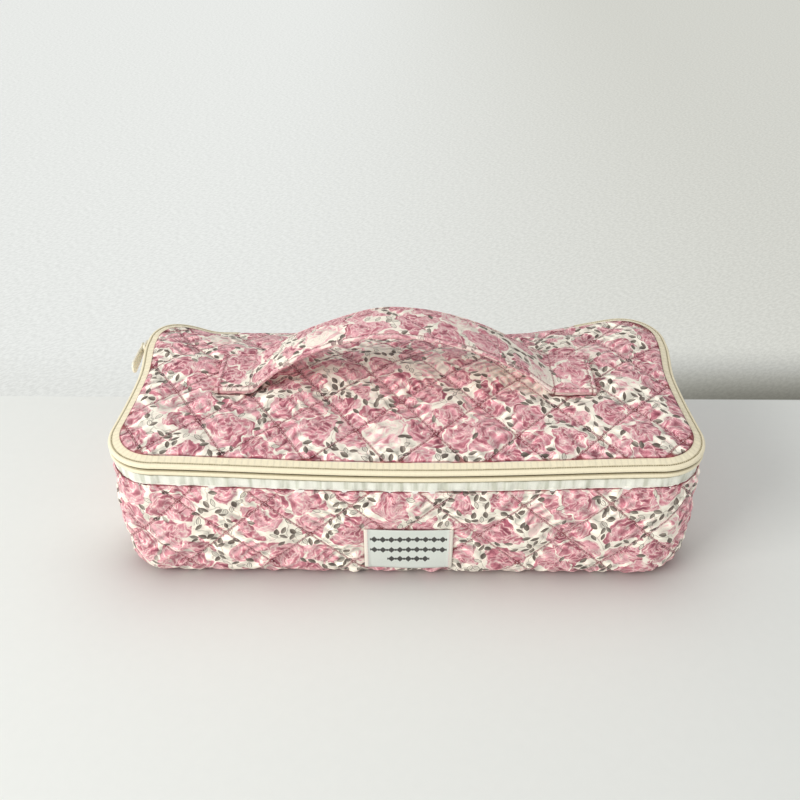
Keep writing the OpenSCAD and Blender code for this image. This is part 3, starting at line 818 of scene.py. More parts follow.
def row_tree(name, inputs, shape, **turning):
    """Geometry nodes that set a shape at even steps along every line of edges."""
    group, nodes, given, out = new_group(
        name, "GeometryNodeTree", {"Geometry": "Geometry", **inputs, "Material": "Material"},
        {"Geometry": "Geometry"})
    curve = nodes.add("GeometryNodeMeshToCurve", {"Mesh": given["Geometry"]})
    even = nodes.add("GeometryNodeResampleCurve",
                     {"Curve": curve.outputs["Curve"], "Length": given["Pitch"]},
                     mode="LENGTH")
    tangent = nodes.add("GeometryNodeInputTangent")
    turn = nodes.add("FunctionNodeAlignRotationToVector",
                     {"Vector": tangent.outputs["Tangent"]}, **turning)
    placed = nodes.add("GeometryNodeInstanceOnPoints",
                       {"Points": even.outputs["Curve"], "Instance": shape(nodes, given),
                        "Rotation": turn.outputs["Rotation"]})
    real = nodes.add("GeometryNodeRealizeInstances", {0: placed.outputs[0]})
    soft = nodes.add("GeometryNodeSetShadeSmooth", {0: real.outputs[0]})
    painted = nodes.add("GeometryNodeSetMaterial",
                        {"Geometry": soft.outputs[0], "Material": given["Material"]})
    nodes.give(out, Geometry=painted.outputs[0])
    return group


def stitch_tree():
    """Geometry nodes: a row of short threads along every edge line."""
    def thread(nodes, given):
        ball = nodes.add("GeometryNodeMeshUVSphere", {"Segments": 6, "Rings": 5, "Radius": 1.0})
        size = nodes.join(given["Radius"], given["Radius"], nodes.times(given["Length"], 0.5))
        return nodes.transformed(ball.outputs["Mesh"], Scale=size)
    return row_tree("Stitch rows",
                    {"Pitch": 2.5 * MM, "Length": 1.7 * MM, "Radius": 0.2 * MM}, thread,
                    axis="Z")


def coil_tree():
    """Geometry nodes: the turns of a zip's coil along a level line."""
    def circle(nodes, points, radius):
        return nodes.add("GeometryNodeCurvePrimitiveCircle",
                         {"Resolution": points, "Radius": radius},
                         mode="RADIUS").outputs["Curve"]

    def turn(nodes, given):
        size = nodes.join(given["Pitch"], given["Depth"], given["Height"])
        upright = nodes.transformed(circle(nodes, 12, 1.0), Rotation=(0, math.radians(90), 0))
        sized = nodes.transformed(upright, Scale=size)
        # The turn leans along the coil by half a pitch, as a wound filament does.
        leaning = nodes.transformed(sized, Rotation=(0, math.radians(14), 0))
        wire = nodes.add("GeometryNodeCurveToMesh",
                         {"Curve": leaning,
                          "Profile Curve": circle(nodes, 5, given["Radius"])})
        return wire.outputs["Mesh"]
    return row_tree("Zip coil", {"Pitch": 1.3 * MM, "Depth": 1 * MM, "Height": 1.5 * MM,
                                 "Radius": 0.3 * MM}, turn, axis="X", pivot_axis="Z")


def grow(obj, tree, **values):
    """Runs a geometry nodes tree on an object and keeps the result as its mesh."""
    modifier = obj.modifiers.new(tree.name, "NODES")
    modifier.node_group = tree
    for item in tree.interface.items_tree:
        if item.item_type == "SOCKET" and item.in_out == "INPUT" and item.name in values:
            modifier[item.identifier] = values[item.name]
    evaluated(obj)


def sew(name, points, lines, body, skip=None):
    """Rows of stitches along lines of points, riding on a body if one is named."""
    size = sizes()
    obj = stitch_lines(name, points, lines, skip)
    grow(obj, tree("Stitch rows", stitch_tree), Pitch=size.stitch_pitch,
         Length=size.stitch_length, Radius=size.stitch_radius, Material=material("thread"))
    return finish_piece(obj, body, "thread")


def tree(name, make):
    """The node group of that name, made when it is first asked for."""
    return bpy.data.node_groups.get(name) or make()


# ---------- shader groups ----------

def field_group():
    """Where the roses of the print lie: edge is above 0 inside a rose."""
    group, n, given, out = new_group(
        "Rose field", "ShaderNodeTree", {"Vector": "Vector"},
        {"Edge": "Float", "Chance": "Color", "Place": "Vector", "Gap line": "Float"})
    p = given["Vector"]
    drift = n.vector("SUBTRACT", n.noise(p, 2.1, 2, 0.55, "Color"), (0.5, 0.5, 0.5))
    w = n.vector("ADD", p, n.scaled(drift, 0.42))
    rose = n.cells(w, 1, 0.9)
    border = n.cells(w, 1, 0.9, "DISTANCE_TO_EDGE").outputs["Distance"]
    chance = n.split(rose.outputs["Color"])
    place = n.vector("SUBTRACT", w, rose.outputs["Position"])
    x, y = n.split(place)[:2]
    angle = n.math("ARCTAN2", y, x)
    phase = n.times(chance[0], 40)
    lobes = n.plus(n.sine(n.times_plus(angle, 7, phase)), n.sine(n.times_plus(angle, 4, phase)))
    gap = n.step(n.noise(p, 0.62, 1), 0.48, 0.64, 0.02, 0.2)
    near_rim = n.minus(n.times_plus(chance[1], 0.2, 0.56), n.vector("LENGTH", place))
    edge = n.plus(n.math("MINIMUM", n.minus(border, gap), near_rim), n.times(lobes, 0.03))
    n.give(out, Edge=edge, Chance=rose.outputs["Color"], Place=place, Gap_line=border)
    return group


def print_group():
    """A cotton print of brushy roses and sprays of small leaves on a pale ground."""
    names = ("Rose", "Deep", "Pale", "Ground", "Leaf", "Leaf pale")
    group, n, given, out = new_group(
        "Rose print", "ShaderNodeTree",
        {"Cloth": "Vector", "Bloom": 21 * MM, **dict.fromkeys(names, "Color")},
        {"Color": "Color"})
    pink, deep, pale, ground, leaf_dark, leaf_pale = [given[name] for name in names]
    p = n.scaled(given["Cloth"], n.over(1, given["Bloom"]))
    edge, chance, place, gap_line = n.group("Rose field", field_group, Vector=p).outputs
    x, y = n.split(place)[:2]
    radius = n.vector("LENGTH", place)
    # Petals: cells laid round each rose, twisted a little towards its middle.
    angle = n.times_plus(radius, 2.6, n.math("ARCTAN2", y, x))
    around = (n.math("COSINE", angle), n.sine(angle))

    def spread(turn, reach):
        """Places round a rose, with a scale for its turn and one for its radius."""
        return n.join(*[n.times(v, turn) for v in around], n.times(radius, reach))

    petal_place = n.vector("ADD", spread(1.25, 6.5), n.scaled(chance, 9))
    petal = n.cells(petal_place, 1, 0.9, flat=False)
    rim = n.cells(petal_place, 1, 0.9, "DISTANCE_TO_EDGE", flat=False).outputs["Distance"]
    tone = n.split(petal.outputs["Color"])[0]
    strokes = n.noise(spread(5, 40), 1, 3, 0.6, flat=False)
    dabs = n.noise(p, 13, 3, 0.65)
    cup = n.plus(n.times(n.step(rim, 0.0, 0.42), -0.34), n.times(tone, 0.42))
    shade = n.plus(cup, n.times_plus(strokes, 0.62, 0.16))
    outline = n.times(n.step(rim, 0.11, 0.03), n.step(strokes, 0.46, 0.54))
    petals = n.mix(n.step(shade, 0.12, 0.5), deep, pink)
    petals = n.mix(n.times(n.step(shade, 0.42, 0.72), 0.75), petals, pale)
    petals = n.mix(n.times(n.step(dabs, 0.44, 0.3), 0.55), petals, deep)
    petals = n.mix(n.times(outline, 0.66), petals, ground)
    # A few of the roses are pale.
    white = n.mix(n.times(n.step(shade, 0.66, 0.42), 0.9), ground, pale)
    white = n.mix(n.times(n.step(shade, 0.42, 0.2), 0.9), white, pink)
    white = n.mix(n.times(outline, 0.35), white, leaf_pale)
    pale_rose = n.step(n.split(chance)[2], 0.86, 0.88)
    petals = n.mix(n.times(pale_rose, 0.9), petals, white)
    petals = n.mix(n.times(n.step(radius, 0.12, 0.03), 0.7), petals, deep)
    painted = n.mix(n.times(n.step(n.noise(p, 5, 2), 0.5, 0.8), 0.35), ground, pale)
    # Stems run along the middle of the gaps between roses.
    stem = n.times(n.step(gap_line, 0.022, 0.008), n.step(edge, -0.07, -0.1))
    painted = n.mix(n.times(stem, 0.5), painted, leaf_pale)
    brushed = n.plus(edge, n.times_plus(strokes, 0.09, -0.045))
    painted = n.mix(n.step(brushed, -0.008, 0.012), painted, petals)
    # Leaves: one in each small cell whose middle lies in a gap.
    share = 0.24
    finer = n.scaled(p, 1 / share)
    leaf = n.cells(finer, 1, 0.72)
    middle = n.scaled(leaf.outputs["Position"], share)
    there = n.group("Rose field", field_group, Vector=middle)
    luck = n.split(leaf.outputs["Color"])
    lean = n.plus(n.times(n.noise(middle, 1.3, 1), 11), n.times(luck[0], 2.6))
    local = n.turned(n.vector("SUBTRACT", finer, leaf.outputs["Position"]), lean)
    lx, ly = n.split(local)[:2]
    long_share = n.over(lx, 0.56)
    half_width = n.times(n.minus(1, n.times(long_share, long_share)),
                         n.times_plus(luck[1], 0.14, 0.2))
    inside = n.minus(half_width, n.absolute(ly))
    # Dark at their edge and along one side, paler inside, a few of them hollow.
    body = n.times(n.step(inside, 0.03, 0.09), n.step(ly, -0.12, 0.06, 0.35, 1))
    body = n.times(body, n.step(luck[2], 0.05, 0.45, 0.45, 1))
    leaf_colour = n.mix(body, leaf_dark, leaf_pale)
    hollow = n.times(n.step(inside, 0.06, 0.1), n.step(luck[2], 0.7, 0.74))
    leaf_colour = n.mix(n.times(hollow, 0.8), leaf_colour, ground)
    vein = n.times(n.step(n.absolute(ly), 0.03, 0.012), n.step(inside, 0.03, 0.06))
    leaf_colour = n.mix(n.times(vein, 0.6), leaf_colour, leaf_dark)
    leaf_mask = n.times(n.step(inside, 0.0, 0.035), n.step(there.outputs["Edge"], 0.0, -0.02))
    n.give(out, Color=n.mix(leaf_mask, painted, leaf_colour))
    return group


def weave_group():
    """A plain weave: height of the threads, and how light each one is."""
    group, n, given, out = new_group(
        "Plain weave", "ShaderNodeTree", {"Cloth": "Vector", "Thread": 0.5 * MM},
        {"Height": "Float", "Shade": "Float"})
    p = n.scaled(given["Cloth"], n.over(math.pi, given["Thread"]))
    x, y = n.split(p)[:2]
    over = n.math("GREATER_THAN", n.times(n.sine(n.times(x, 0.5)), n.sine(n.times(y, 0.5))), 0)
    height = n.add("ShaderNodeMix", {0: over, 2: n.absolute(n.sine(x)),
                                     3: n.absolute(n.sine(y))}, data_type="FLOAT")
    n.give(out, Height=height.outputs[0], Shade=n.noise(p, 0.35, 2, 0.6))
    return group


def wrinkle_group():
    """Soft creases and lint on cloth, as a height."""
    group, n, given, out = new_group(
        "Cloth creases", "ShaderNodeTree", {"Cloth": "Vector", "Size": 6 * MM},
        {"Height": "Float"})
    p = n.scaled(given["Cloth"], n.over(1, given["Size"]))
    drift = n.scaled(n.noise(p, 0.7, 2, 0.5, "Color"), 1.6)
    creases = n.noise(n.vector("ADD", p, drift), 1, 3, 0.55)
    ridged = n.absolute(n.minus(creases, 0.5))
    n.give(out, Height=n.times_plus(ridged, -1.6, n.noise(p, 2.4, 2, 0.5)))
    return group


# ---------- materials ----------

def rgba(value, share=1.0):
    """A colour with its alpha, or a darker share of it."""
    return (value[0] * share, value[1] * share, value[2] * share, 1.0)


def new_material(name, **constants):
    """A material with a Principled shader, whose constant sockets are given by name."""
    material = bpy.data.materials.new("bag_" + name)
    material.use_nodes = True
    nodes = Nodes(material.node_tree)
    shader = material.node_tree.nodes["Principled BSDF"]
    nodes.give(shader, **constants)
    return material, nodes, shader


def cloth_place(nodes):
    return nodes.add("ShaderNodeUVMap", uv_map="Cloth").outputs["UV"]


def weave_bump(nodes, shader, place, thread, depth, crease_size=6 * MM, crease=0.25 * MM):
    """Bumps of threads and creases on cloth. Depths are in metres."""
    weave = nodes.group("Plain weave", weave_group, Cloth=place, Thread=thread)
    creases = nodes.group("Cloth creases", wrinkle_group, Cloth=place, Size=crease_size)
    large = nodes.bump(creases.outputs["Height"], 0.6, crease)
    nodes.give(shader, Normal=nodes.bump(weave.outputs["Height"], 0.5, depth, large))
    return weave


def painted_crease_shade(nodes, colour_value, dark, most, start=0.0):
    """A colour with painted shade, darker where the piece's points say that they lie near a
    crease.
    """
    factor = nodes.times(nodes.step(nodes.attribute("Crease"), start, 1), most, clamp=True)
    shaded = nodes.add("ShaderNodeMix", {0: factor, 6: colour_value, 7: dark},
                       data_type="RGBA", blend_type="MULTIPLY")
    return shaded.outputs[2]


def folded(nodes, colour_value, amount):
    """A colour with painted light and shade: lighter on the crests of small folds and darker
    between them.
    """
    bright = nodes.step(nodes.attribute("Fold"), -1, 1, 1 - amount, 1 + amount)
    return nodes.scaled(colour_value, bright)


def tinted(nodes, colour_value, shade, amount):
    """A colour made a little lighter or darker by a shade from 0 to 1."""
    return nodes.scaled(colour_value, nodes.step(shade, 0.2, 0.8, 1 - amount, 1 + amount))


def print_fabric():
    """Printed cotton: paler on the strap's hems, with painted shade, darker and rosier, in its
    creases.
    """
    c = colours()
    material, n, shader = new_material("print_fabric", Roughness=0.86, Sheen_Weight=0.12,
                                       Sheen_Roughness=0.5, Specular_IOR_Level=0.25)
    place = cloth_place(n)
    drawn = n.group("Rose print", print_group, Cloth=place, Bloom=sizes().bloom,
                    Rose=rgba(c.rose), Deep=rgba(c.rose_deep), Pale=rgba(c.rose_pale),
                    Ground=rgba(c.ground), Leaf=rgba(c.leaf), Leaf_pale=rgba(c.leaf_pale))
    weave = weave_bump(n, shader, place, 0.45 * MM, 0.05 * MM)
    dye_and_painted_light = tinted(n, drawn.outputs["Color"], weave.outputs["Shade"], 0.05)
    dye_and_painted_light = n.mix(n.times(n.attribute("Hem"), 0.22), dye_and_painted_light, rgba(c.rose_pale))
    # Painted highlights and shade on the small folds, then painted shade along creases and seams.
    dye_and_painted_light = folded(n, dye_and_painted_light, 0.4)
    n.give(shader, Base_Color=painted_crease_shade(n, dye_and_painted_light, (0.3, 0.09, 0.1, 1), 0.92, 0.83))
    return material


def plain_cloth(name, value, thread, roughness=0.88):
    """A plain woven cloth of one colour with its threads and creases."""
    material, n, shader = new_material(name, Roughness=roughness, Sheen_Weight=0.1,
                                       Specular_IOR_Level=0.25)
    weave = weave_bump(n, shader, cloth_place(n), thread, 0.08 * MM, 9 * MM, 0.3 * MM)
    base = n.mix(n.times(weave.outputs["Height"], 0.16), rgba(value), rgba(value, 0.72))
    n.give(shader, Base_Color=tinted(n, base, weave.outputs["Shade"], 0.06))
    return material


def zip_tape_material():
    """Woven tape: fine ribs along it, small ticks across it and a polished ridge."""
    value = colours().tape
    material, n, shader = new_material("zip_tape", Roughness=0.62, Sheen_Weight=0.15,
                                       Specular_IOR_Level=0.35)
    place = cloth_place(n)
    weave = weave_bump(n, shader, place, 0.55 * MM, 0.09 * MM, 5 * MM, 0.2 * MM)
    x, y = n.split(place)[:2]
    tick_pitch = 3.4 * MM
    ticks = n.sine(n.times(x, 2 * math.pi / tick_pitch))
    # The ticks show on the flats of both tapes, not on their rolled edges.
    dull = n.times(n.step(ticks, 0.3, 0.95),
                   n.step(n.absolute(y), 6 * MM, 7 * MM, 0.04, 0.22))
    base = n.mix(dull, rgba(value), rgba(value, 0.62))
    # Painted cool light from the table on the lower tape's flat, with painted shade in streaks.
    gathers = n.noise(n.vector("MULTIPLY", place, (260, 30, 1)), 1, 2, 0.5)
    painted_cool_light = n.mix(n.step(gathers, 0.4, 0.75), rgba(linear("F8F8EC")), rgba(linear("D4D5C4")))
    base = n.mix(n.attribute("Flat"), base, painted_cool_light)
    dye_and_painted_light = tinted(n, base, weave.outputs["Shade"], 0.05)
    # Painted shade in the slit and the grooves beside the ridges.
    n.give(shader, Base_Color=painted_crease_shade(n, dye_and_painted_light, (0.22, 0.18, 0.08, 1), 1.0))
    return material


def object_place(nodes):
    return nodes.add("ShaderNodeTexCoord").outputs["Object"]


def mottled(name, value, scale, amount, roughness, bump=0.05 * MM, **constants):
    """A finish whose colour, gloss and surface wander a little."""
    material, n, shader = new_material(name, Roughness=roughness, **constants)
    patch = n.noise(object_place(n), scale, 3, 0.6, flat=False)
    n.give(shader, Base_Color=tinted(n, rgba(value), patch, amount),
           Roughness=n.step(patch, 0.2, 0.8, roughness - 0.08, roughness + 0.08),
           Normal=n.bump(patch, 0.5, bump))
    return material


def label_material():
    """A woven label with three rows of small lozenges and dots in dark thread."""
    c = colours()
    material, n, shader = new_material("label", Roughness=0.7, Sheen_Weight=0.1)
    place = cloth_place(n)
    weave = weave_bump(n, shader, place, 0.3 * MM, 0.04 * MM, 8 * MM, 0.15 * MM)
    x, y = n.split(place)[:2]
    pitch = 4.8 * MM
    cell = n.minus(n.math("FRACT", n.plus(n.over(x, pitch), 0.5)), 0.5)
    across = n.absolute(n.times(cell, pitch))
    between = n.minus(pitch / 2, across)
    half = (LABEL[1][0] - LABEL[0][0]) / 2
    dark = 0.0
    for down, reach in ((-8.5 * MM, 21.6 * MM), (0.3 * MM, 21.6 * MM), (8.2 * MM, 12 * MM)):
        height = n.absolute(n.minus(y, down))
        lozenge = n.plus(n.over(across, 2.1 * MM), n.over(height, 2.5 * MM))
        dot = n.largest(n.over(between, 0.6 * MM), n.over(height, 0.9 * MM))
        marks = n.step(n.math("MINIMUM", lozenge, dot), 1.08, 0.92)
        marks = n.times(marks, n.step(n.absolute(x), reach + 0.1 * MM, reach))
        dark = n.largest(marks, dark)
    worn = n.times(dark, n.step(weave.outputs["Shade"], 0.1, 0.5, 0.8, 0.97))
    folds = n.step(n.absolute(x), half - 1.9 * MM, half - 1.7 * MM)
    face = n.mix(folds, rgba(c.label), rgba(linear("F6F0E2")))
    face = tinted(n, face, weave.outputs["Shade"], 0.05)
    n.give(shader, Base_Color=n.mix(worn, face, rgba(c.motif)))
    return material


def material(name):
    """The material of that name, made when it is first asked for."""
    c = colours()
    makers = {
        "print_fabric": print_fabric,
        "zip_tape": zip_tape_material,
        "label": label_material,
        "lining": lambda: plain_cloth("lining", c.lining, 0.6 * MM),
        "binding": lambda: plain_cloth("binding", c.binding, 0.5 * MM, 0.8),
        "zip_coil": lambda: mottled("zip_coil", c.coil, 900, 0.06, 0.35),
        "slider_paint": lambda: mottled("slider_paint", c.enamel, 260, 0.03, 0.28,
                                        0.03 * MM, Coat_Weight=0.3),
        "thread": lambda: mottled("thread", c.thread, 2600, 0.12, 0.6, Sheen_Weight=0.2),
        "batting": lambda: mottled("batting", c.batting, 700, 0.08, 0.95, 0.4 * MM),
    }
    return bpy.data.materials.get("bag_" + name) or makers[name]()


# ---------- wall ----------

def wall_room(p):
    """Distance of cloth places inside the flat of the wall."""
    return np.minimum(np.minimum(p[:, 0], ROUND - p[:, 0]),
                      np.minimum(p[:, 1] - RIM_DROP, WALL_DROP - p[:, 1]))


def wall_quilt(steps, rows=(), held=None):
    """The wall's band laid flat, with some cloth points between two quilting lines."""
    lattice = wall_lattice()
    step = lattice.pitches.min() / steps
    outline = polyline([(0, RIM_DROP), (ROUND, RIM_DROP), (ROUND, WALL_DROP), (0, WALL_DROP)],
                       step)
    return Quilt(outline, lattice, steps, wall_room, rows, held)


def close_back(obj):
    """Joins the two ends of the wall's band at the middle of the back."""
    def join_ends(shell):
        ends = [v for v in shell.verts if abs(v.co.x) < SAME and v.co.y > 0]
        bmesh.ops.remove_doubles(shell, verts=ends, dist=SAME)
    reshape(obj.data, join_ends)


def within(p, low, high, margin):
    """Whether places lie in a rectangle that is wider by a margin."""
    return ((p > np.array(low) - margin) & (p < np.array(high) + margin)).all(1)


def beyond(p, low, high):
    """Distance of places from a rectangle, 0 inside it."""
    return np.hypot(*np.maximum(np.maximum(low - p, p - high), 0).T)


def label_span():
    """The label's lowest and highest [s, t] on the wall."""
    low_t = RIM_Z - LABEL[1][2] - 2.5 * MM
    sunk = np.clip((ROLL - LABEL[0][2]) / ROLL, 0, 1)
    high_t = WALL_STRAIGHT + ROLL * math.asin(sunk) if sunk > 0 else RIM_Z - LABEL[0][2]
    return (FRONT_S + LABEL[0][0], low_t), (FRONT_S + LABEL[1][0], high_t + 1 * MM)


def wall_press(p):
    """How far puffs may stand out: less at the back, where the lid folds over."""
    _, out = plan(p[:, 0], np.zeros(len(p)))
    return 1 - 0.35 * np.clip(out[:, 1], 0, 1)


def rest_on_table(co):
    """Keeps points above the table, and lets the lowest of them lie flat on it."""
    co = np.array(co)
    co[..., 2] = np.maximum(co[..., 2], TABLE_GAP)
    return co


def on_wall(depth=0.0):
    """The wall at a depth below its face, as a surface for a quilt."""
    return lambda p: wall_point(p[:, 0], p[:, 1], depth)


def on_lid(depth):
    """The lid at a depth below its upper face, as a surface for a quilt."""
    return lambda p: lid_point(p[:, 0], p[:, 1], depth)


def layer(name, quilt, surface, puff):
    """An inner layer: cloth on a surface, with pillows of a given height."""
    obj, co, normals = quilt.mesh(name, surface)
    co = co + normals * (puff * quilt.lattice.puff(quilt.places))[:, None]
    set_coordinates(obj.data, settle(co))
    return obj


class KNITTINGBAG_OT_wall(bpy.types.Operator):
    """Build the quilted wall: printed fabric, batting, lining, binding and stitching"""

    bl_idname = "knitting_bag.wall"
    bl_label = "Build Wall"

    def execute(self, context):
        size = sizes()
        top_row = RIM_DROP + 1.6 * MM
        count = int(round(ROUND / (size.quilt_pitch / size.quilt_steps)))
        rows = [(ROUND * k / count, top_row) for k in range(1, count)]
        label = label_span()
        quilt = wall_quilt(size.quilt_steps, rows, lambda p: within(p, *label, 1.5 * MM))
        obj, co, normals = quilt.mesh("wall_fabric", on_wall())
        s, t = quilt.places.T
        # Painted shade runs along the rim's seam and round the label, as well as the quilting
        # lines.
        seam = np.minimum(t - RIM_DROP, beyond(quilt.places, *label))
        co = swollen(obj, quilt, co, normals, seam, rim_gathers(s, t), wall_press)
        set_coordinates(obj.data, rest_on_table(settle(co)))
        raised = coordinates(refine(obj))[:len(co)] + normals * (size.stitch_radius * 1.3)
        hidden = within(quilt.places, *label, -0.5 * MM) | (t < top_row + MM)
        sew("wall_quilting_stitches", raised, quilt.lines, "bag", hidden)
        on_row = np.flatnonzero(np.abs(t - top_row) < SAME)
        on_row = on_row[np.argsort(s[on_row])].tolist()
        stitches = sew("rim_stitches", raised, [on_row + on_row[:1]], "bag")
        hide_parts("rim_topstitching")
        close_back(obj)
        thicken(obj, PRINT_CLOTH)
        finish_piece(obj, "bag", "print_fabric", "wall_outer_fabric")
        self.inner_layers()
        return {"FINISHED"}

    def inner_layers(self):
        quilt = wall_quilt(6)
        obj = layer("wall_batting_layer", quilt, on_wall(FABRIC), 0.8 * MM)
        close_back(obj)
        thicken(obj, BATTING * 0.9)
        finish_piece(obj, "bag", "batting", "wall_batting")
        # The lining lies flat under the rim's binding.
        calm = smooth((quilt.places[:, 1] - 9 * MM) / (6 * MM))
        obj = layer("wall_lining_cloth", quilt, on_wall(THICKNESS - LINING), -1.3 * MM * calm)
        close_back(obj)
        refine(obj)
        thicken(obj, LINING_CLOTH)
        finish_piece(obj, "bag", "lining", "wall_lining")
        inner = WALL_U - THICKNESS
        obj = round_band("rim_binding_tape",
                         rounded_strip(inner - 0.9 * MM, inner - 0.1 * MM,
                                       RIM_Z - 8 * MM, RIM_Z + 0.4 * MM))
        finish_piece(obj, "bag", "binding", "rim_binding")


def rounded_strip(u0, u1, z0, z1, steps=4):
    """A slim upright section with round ends, as [u, z] points."""
    half = (u1 - u0) / 2
    middle = (u0 + u1) / 2
    top = [(middle + half * math.cos(a), z1 - half + half * math.sin(a))
           for a in np.linspace(0, math.pi, steps + 1)]
    bottom = [(middle + half * math.cos(a), z0 + half + half * math.sin(a))
              for a in np.linspace(math.pi, 2 * math.pi, steps + 1)]
    return np.array(top + bottom)


# ---------- base ----------

def plate_outline(inset, step):
    """The rounded plan of the bag, inset from the zip line, as even points."""
    radius = CORNER - inset
    points = []
    for k, (cx, cy) in enumerate([(1, 1), (-1, 1), (-1, -1), (1, -1)]):
        count = int(round(math.pi / 2 * radius / step))
        for a in np.radians(np.linspace(90 * k, 90 * k + 90, count + 1)):
            points.append((cx * CORE_X + radius * math.cos(a),
                           cy * CORE_Y + radius * math.sin(a)))
    return polyline(points, step)


def plate_quilt(inset, steps, held=None):
    """A rounded plate of the bag's plan, with some cloth points between two lines."""
    lattice = lid_lattice()
    step = lattice.pitches.min() / steps
    outline = plate_outline(inset, step)
    return Quilt(outline, lattice, steps,
                 lambda p: -inset - zip_u(p[:, 0], p[:, 1]), held=held)


def level(height, up):
    """A flat surface at a height whose face looks up or down."""
    def surface(p):
        co = np.column_stack([p, np.full(len(p), height)])
        return co, np.tile([0.0, 0.0, float(up)], (len(p), 1))
    return surface


class KNITTINGBAG_OT_base(bpy.types.Operator):
    """Build the quilted base: printed fabric, batting, lining and its bound seam"""

    bl_idname = "knitting_bag.base"
    bl_label = "Build Base"

    def execute(self, context):
        quilt = plate_quilt(-ROLL_U, 7)
        crease = 0.9 * MM
        obj, co, _ = quilt.mesh("base_fabric", level(0, -1))
        puff = quilt.lattice.puff(quilt.places)
        co[:, 2] = TABLE_GAP + crease * (1 - np.minimum(1, 1.6 * puff))
        set_coordinates(obj.data, co)
        sewn = coordinates(refine(obj))[:len(co)]
        sew("base_quilting_stitches", sewn, quilt.lines, "bag")
        thicken(obj, PRINT_CLOTH)
        finish_piece(obj, "bag", "print_fabric", "base_outer_fabric")
        obj, co, _ = quilt.mesh("base_batting_layer", level(THICKNESS - LINING, 1))
        thicken(obj, BATTING * 0.6)
        finish_piece(obj, "bag", "batting", "base_batting")
        obj, co, _ = quilt.mesh("base_lining_cloth", level(THICKNESS, 1))
        co[:, 2] += 1.2 * MM * puff
        set_coordinates(obj.data, co)
        refine(obj)
        thicken(obj, LINING_CLOTH)
        finish_piece(obj, "bag", "lining", "base_lining")
        low, high = box("base_seam_binding")
        outer = high[0] - HALF_LENGTH
        obj = round_band("base_seam_tape",
                         rounded_strip(outer - 1.4 * MM, outer, low[2], high[2]))
        finish_piece(obj, "bag", "binding", "base_seam_binding")
        return {"FINISHED"}


# ---------- lid ----------

STRAP_ENDS = [((low[0], -HALF_STRAP), (high[0], HALF_STRAP))
              for low, high in (LEFT_END, RIGHT_END)]


def under_strap(p, margin=0.0):
    """Places on the lid that a sewn end of the strap covers."""
    return np.any([within(p, *end, margin) for end in STRAP_ENDS], axis=0)


class KNITTINGBAG_OT_lid(bpy.types.Operator):
    """Build the quilted lid: printed fabric, batting, lining, binding and stitching"""

    bl_idname = "knitting_bag.lid"
    bl_label = "Build Lid"

    def execute(self, context):
        size = sizes()
        sunk = 0.5 * MM
        quilt = plate_quilt(-LID_SEAM_U, size.quilt_steps, lambda p: under_strap(p, MM))
        obj, co, normals = quilt.mesh("lid_fabric", on_lid(sunk))
        x, y = quilt.places.T
        edge = zip_u(x, y)
        fold = np.exp((edge - LID_SEAM_U) / (5 * MM))
        gathers = fold * ripple(np.arctan2(y, x) / (2 * np.pi) * ROUND, 140, 5)
        co = co + normals * (0.5 * MM * gathers * (edge < LID_SEAM_U - 0.1 * MM))[:, None]
        set_coordinates(obj.data, co)
        # Painted shade runs along the seam and round the strap's sewn ends, as well as the
        # quilting lines.
        beside = np.minimum(*[beyond(quilt.places, *end) for end in STRAP_ENDS])
        seam = np.minimum(LID_SEAM_U - edge, beside)
        co = swollen(obj, quilt, co, normals, seam, gathers)
        set_coordinates(obj.data, settle(co))
        raised = coordinates(refine(obj))[:len(co)] + normals * (size.stitch_radius * 1.3)
        sew("lid_quilting_stitches", raised, quilt.lines, "lid", under_strap(quilt.places))
        thicken(obj, PRINT_CLOTH)
        finish_piece(obj, "lid", "print_fabric", "lid_outer_fabric")
        self.inner_layers()
        return {"FINISHED"}

    def inner_layers(self):
        quilt = plate_quilt(-LID_SEAM_U, 6)
        obj = layer("lid_batting_layer", quilt, on_lid(FABRIC + 0.4 * MM), 0.6 * MM)
        thicken(obj, BATTING * 0.8)
        finish_piece(obj, "lid", "batting", "lid_batting")
        # The lining lies flat under the seam's binding.
        inside = LID_SEAM_U - zip_u(quilt.places[:, 0], quilt.places[:, 1])
        calm = smooth((inside - 8 * MM) / (6 * MM))
        obj = layer("lid_lining_cloth", quilt, on_lid(THICKNESS), -1.3 * MM * calm)
        obj.data.flip_normals()
        refine(obj)
        thicken(obj, LINING_CLOTH)
        finish_piece(obj, "lid", "lining", "lid_lining")
        u = LID_SEAM_U - np.array([0, 2, 4, 6, 8]) * MM
        low = lid_height(u) - THICKNESS
        under = low - np.array([0.8, 0.9, 0.9, 0.9, 0.6]) * MM
        above = low + np.array([0, 0.1, 0.1, 0.1, 0.3]) * MM
        obj = round_band("lid_seam_tape",
                         np.column_stack([np.concatenate([u[:1], u, u[:0:-1]]),
                                          np.concatenate([above[:1], under, above[:0:-1]])]))
        finish_piece(obj, "lid", "binding", "lid_seam_binding")


# ---------- zip ----------

ROLL_OUT = 0.5 * MM
COIL_U = -1.75 * MM


def ridge(side, inset, start, end, steps=16):
    """The rolled edge of a tape as [u, z] points. side is 1 above the slit, -1 below."""
    angles = np.radians(np.linspace(start, end, steps + 1))
    depth = RIDGE_DEPTH + ROLL_OUT - inset
    height = RIDGE_HEIGHT / 2 - inset
    middle = HALF_SLIT + RIDGE_HEIGHT / 2
    # A little squarer than an ellipse, with a rounded face.
    power = 0.9
    u = -RIDGE_DEPTH + depth * np.abs(np.cos(angles)) ** power * np.sign(np.cos(angles))
    z = SLIT_Z + side * (middle + height * np.abs(np.sin(angles)) ** power
                         * np.sign(np.sin(angles)))
    return list(zip(u, z))


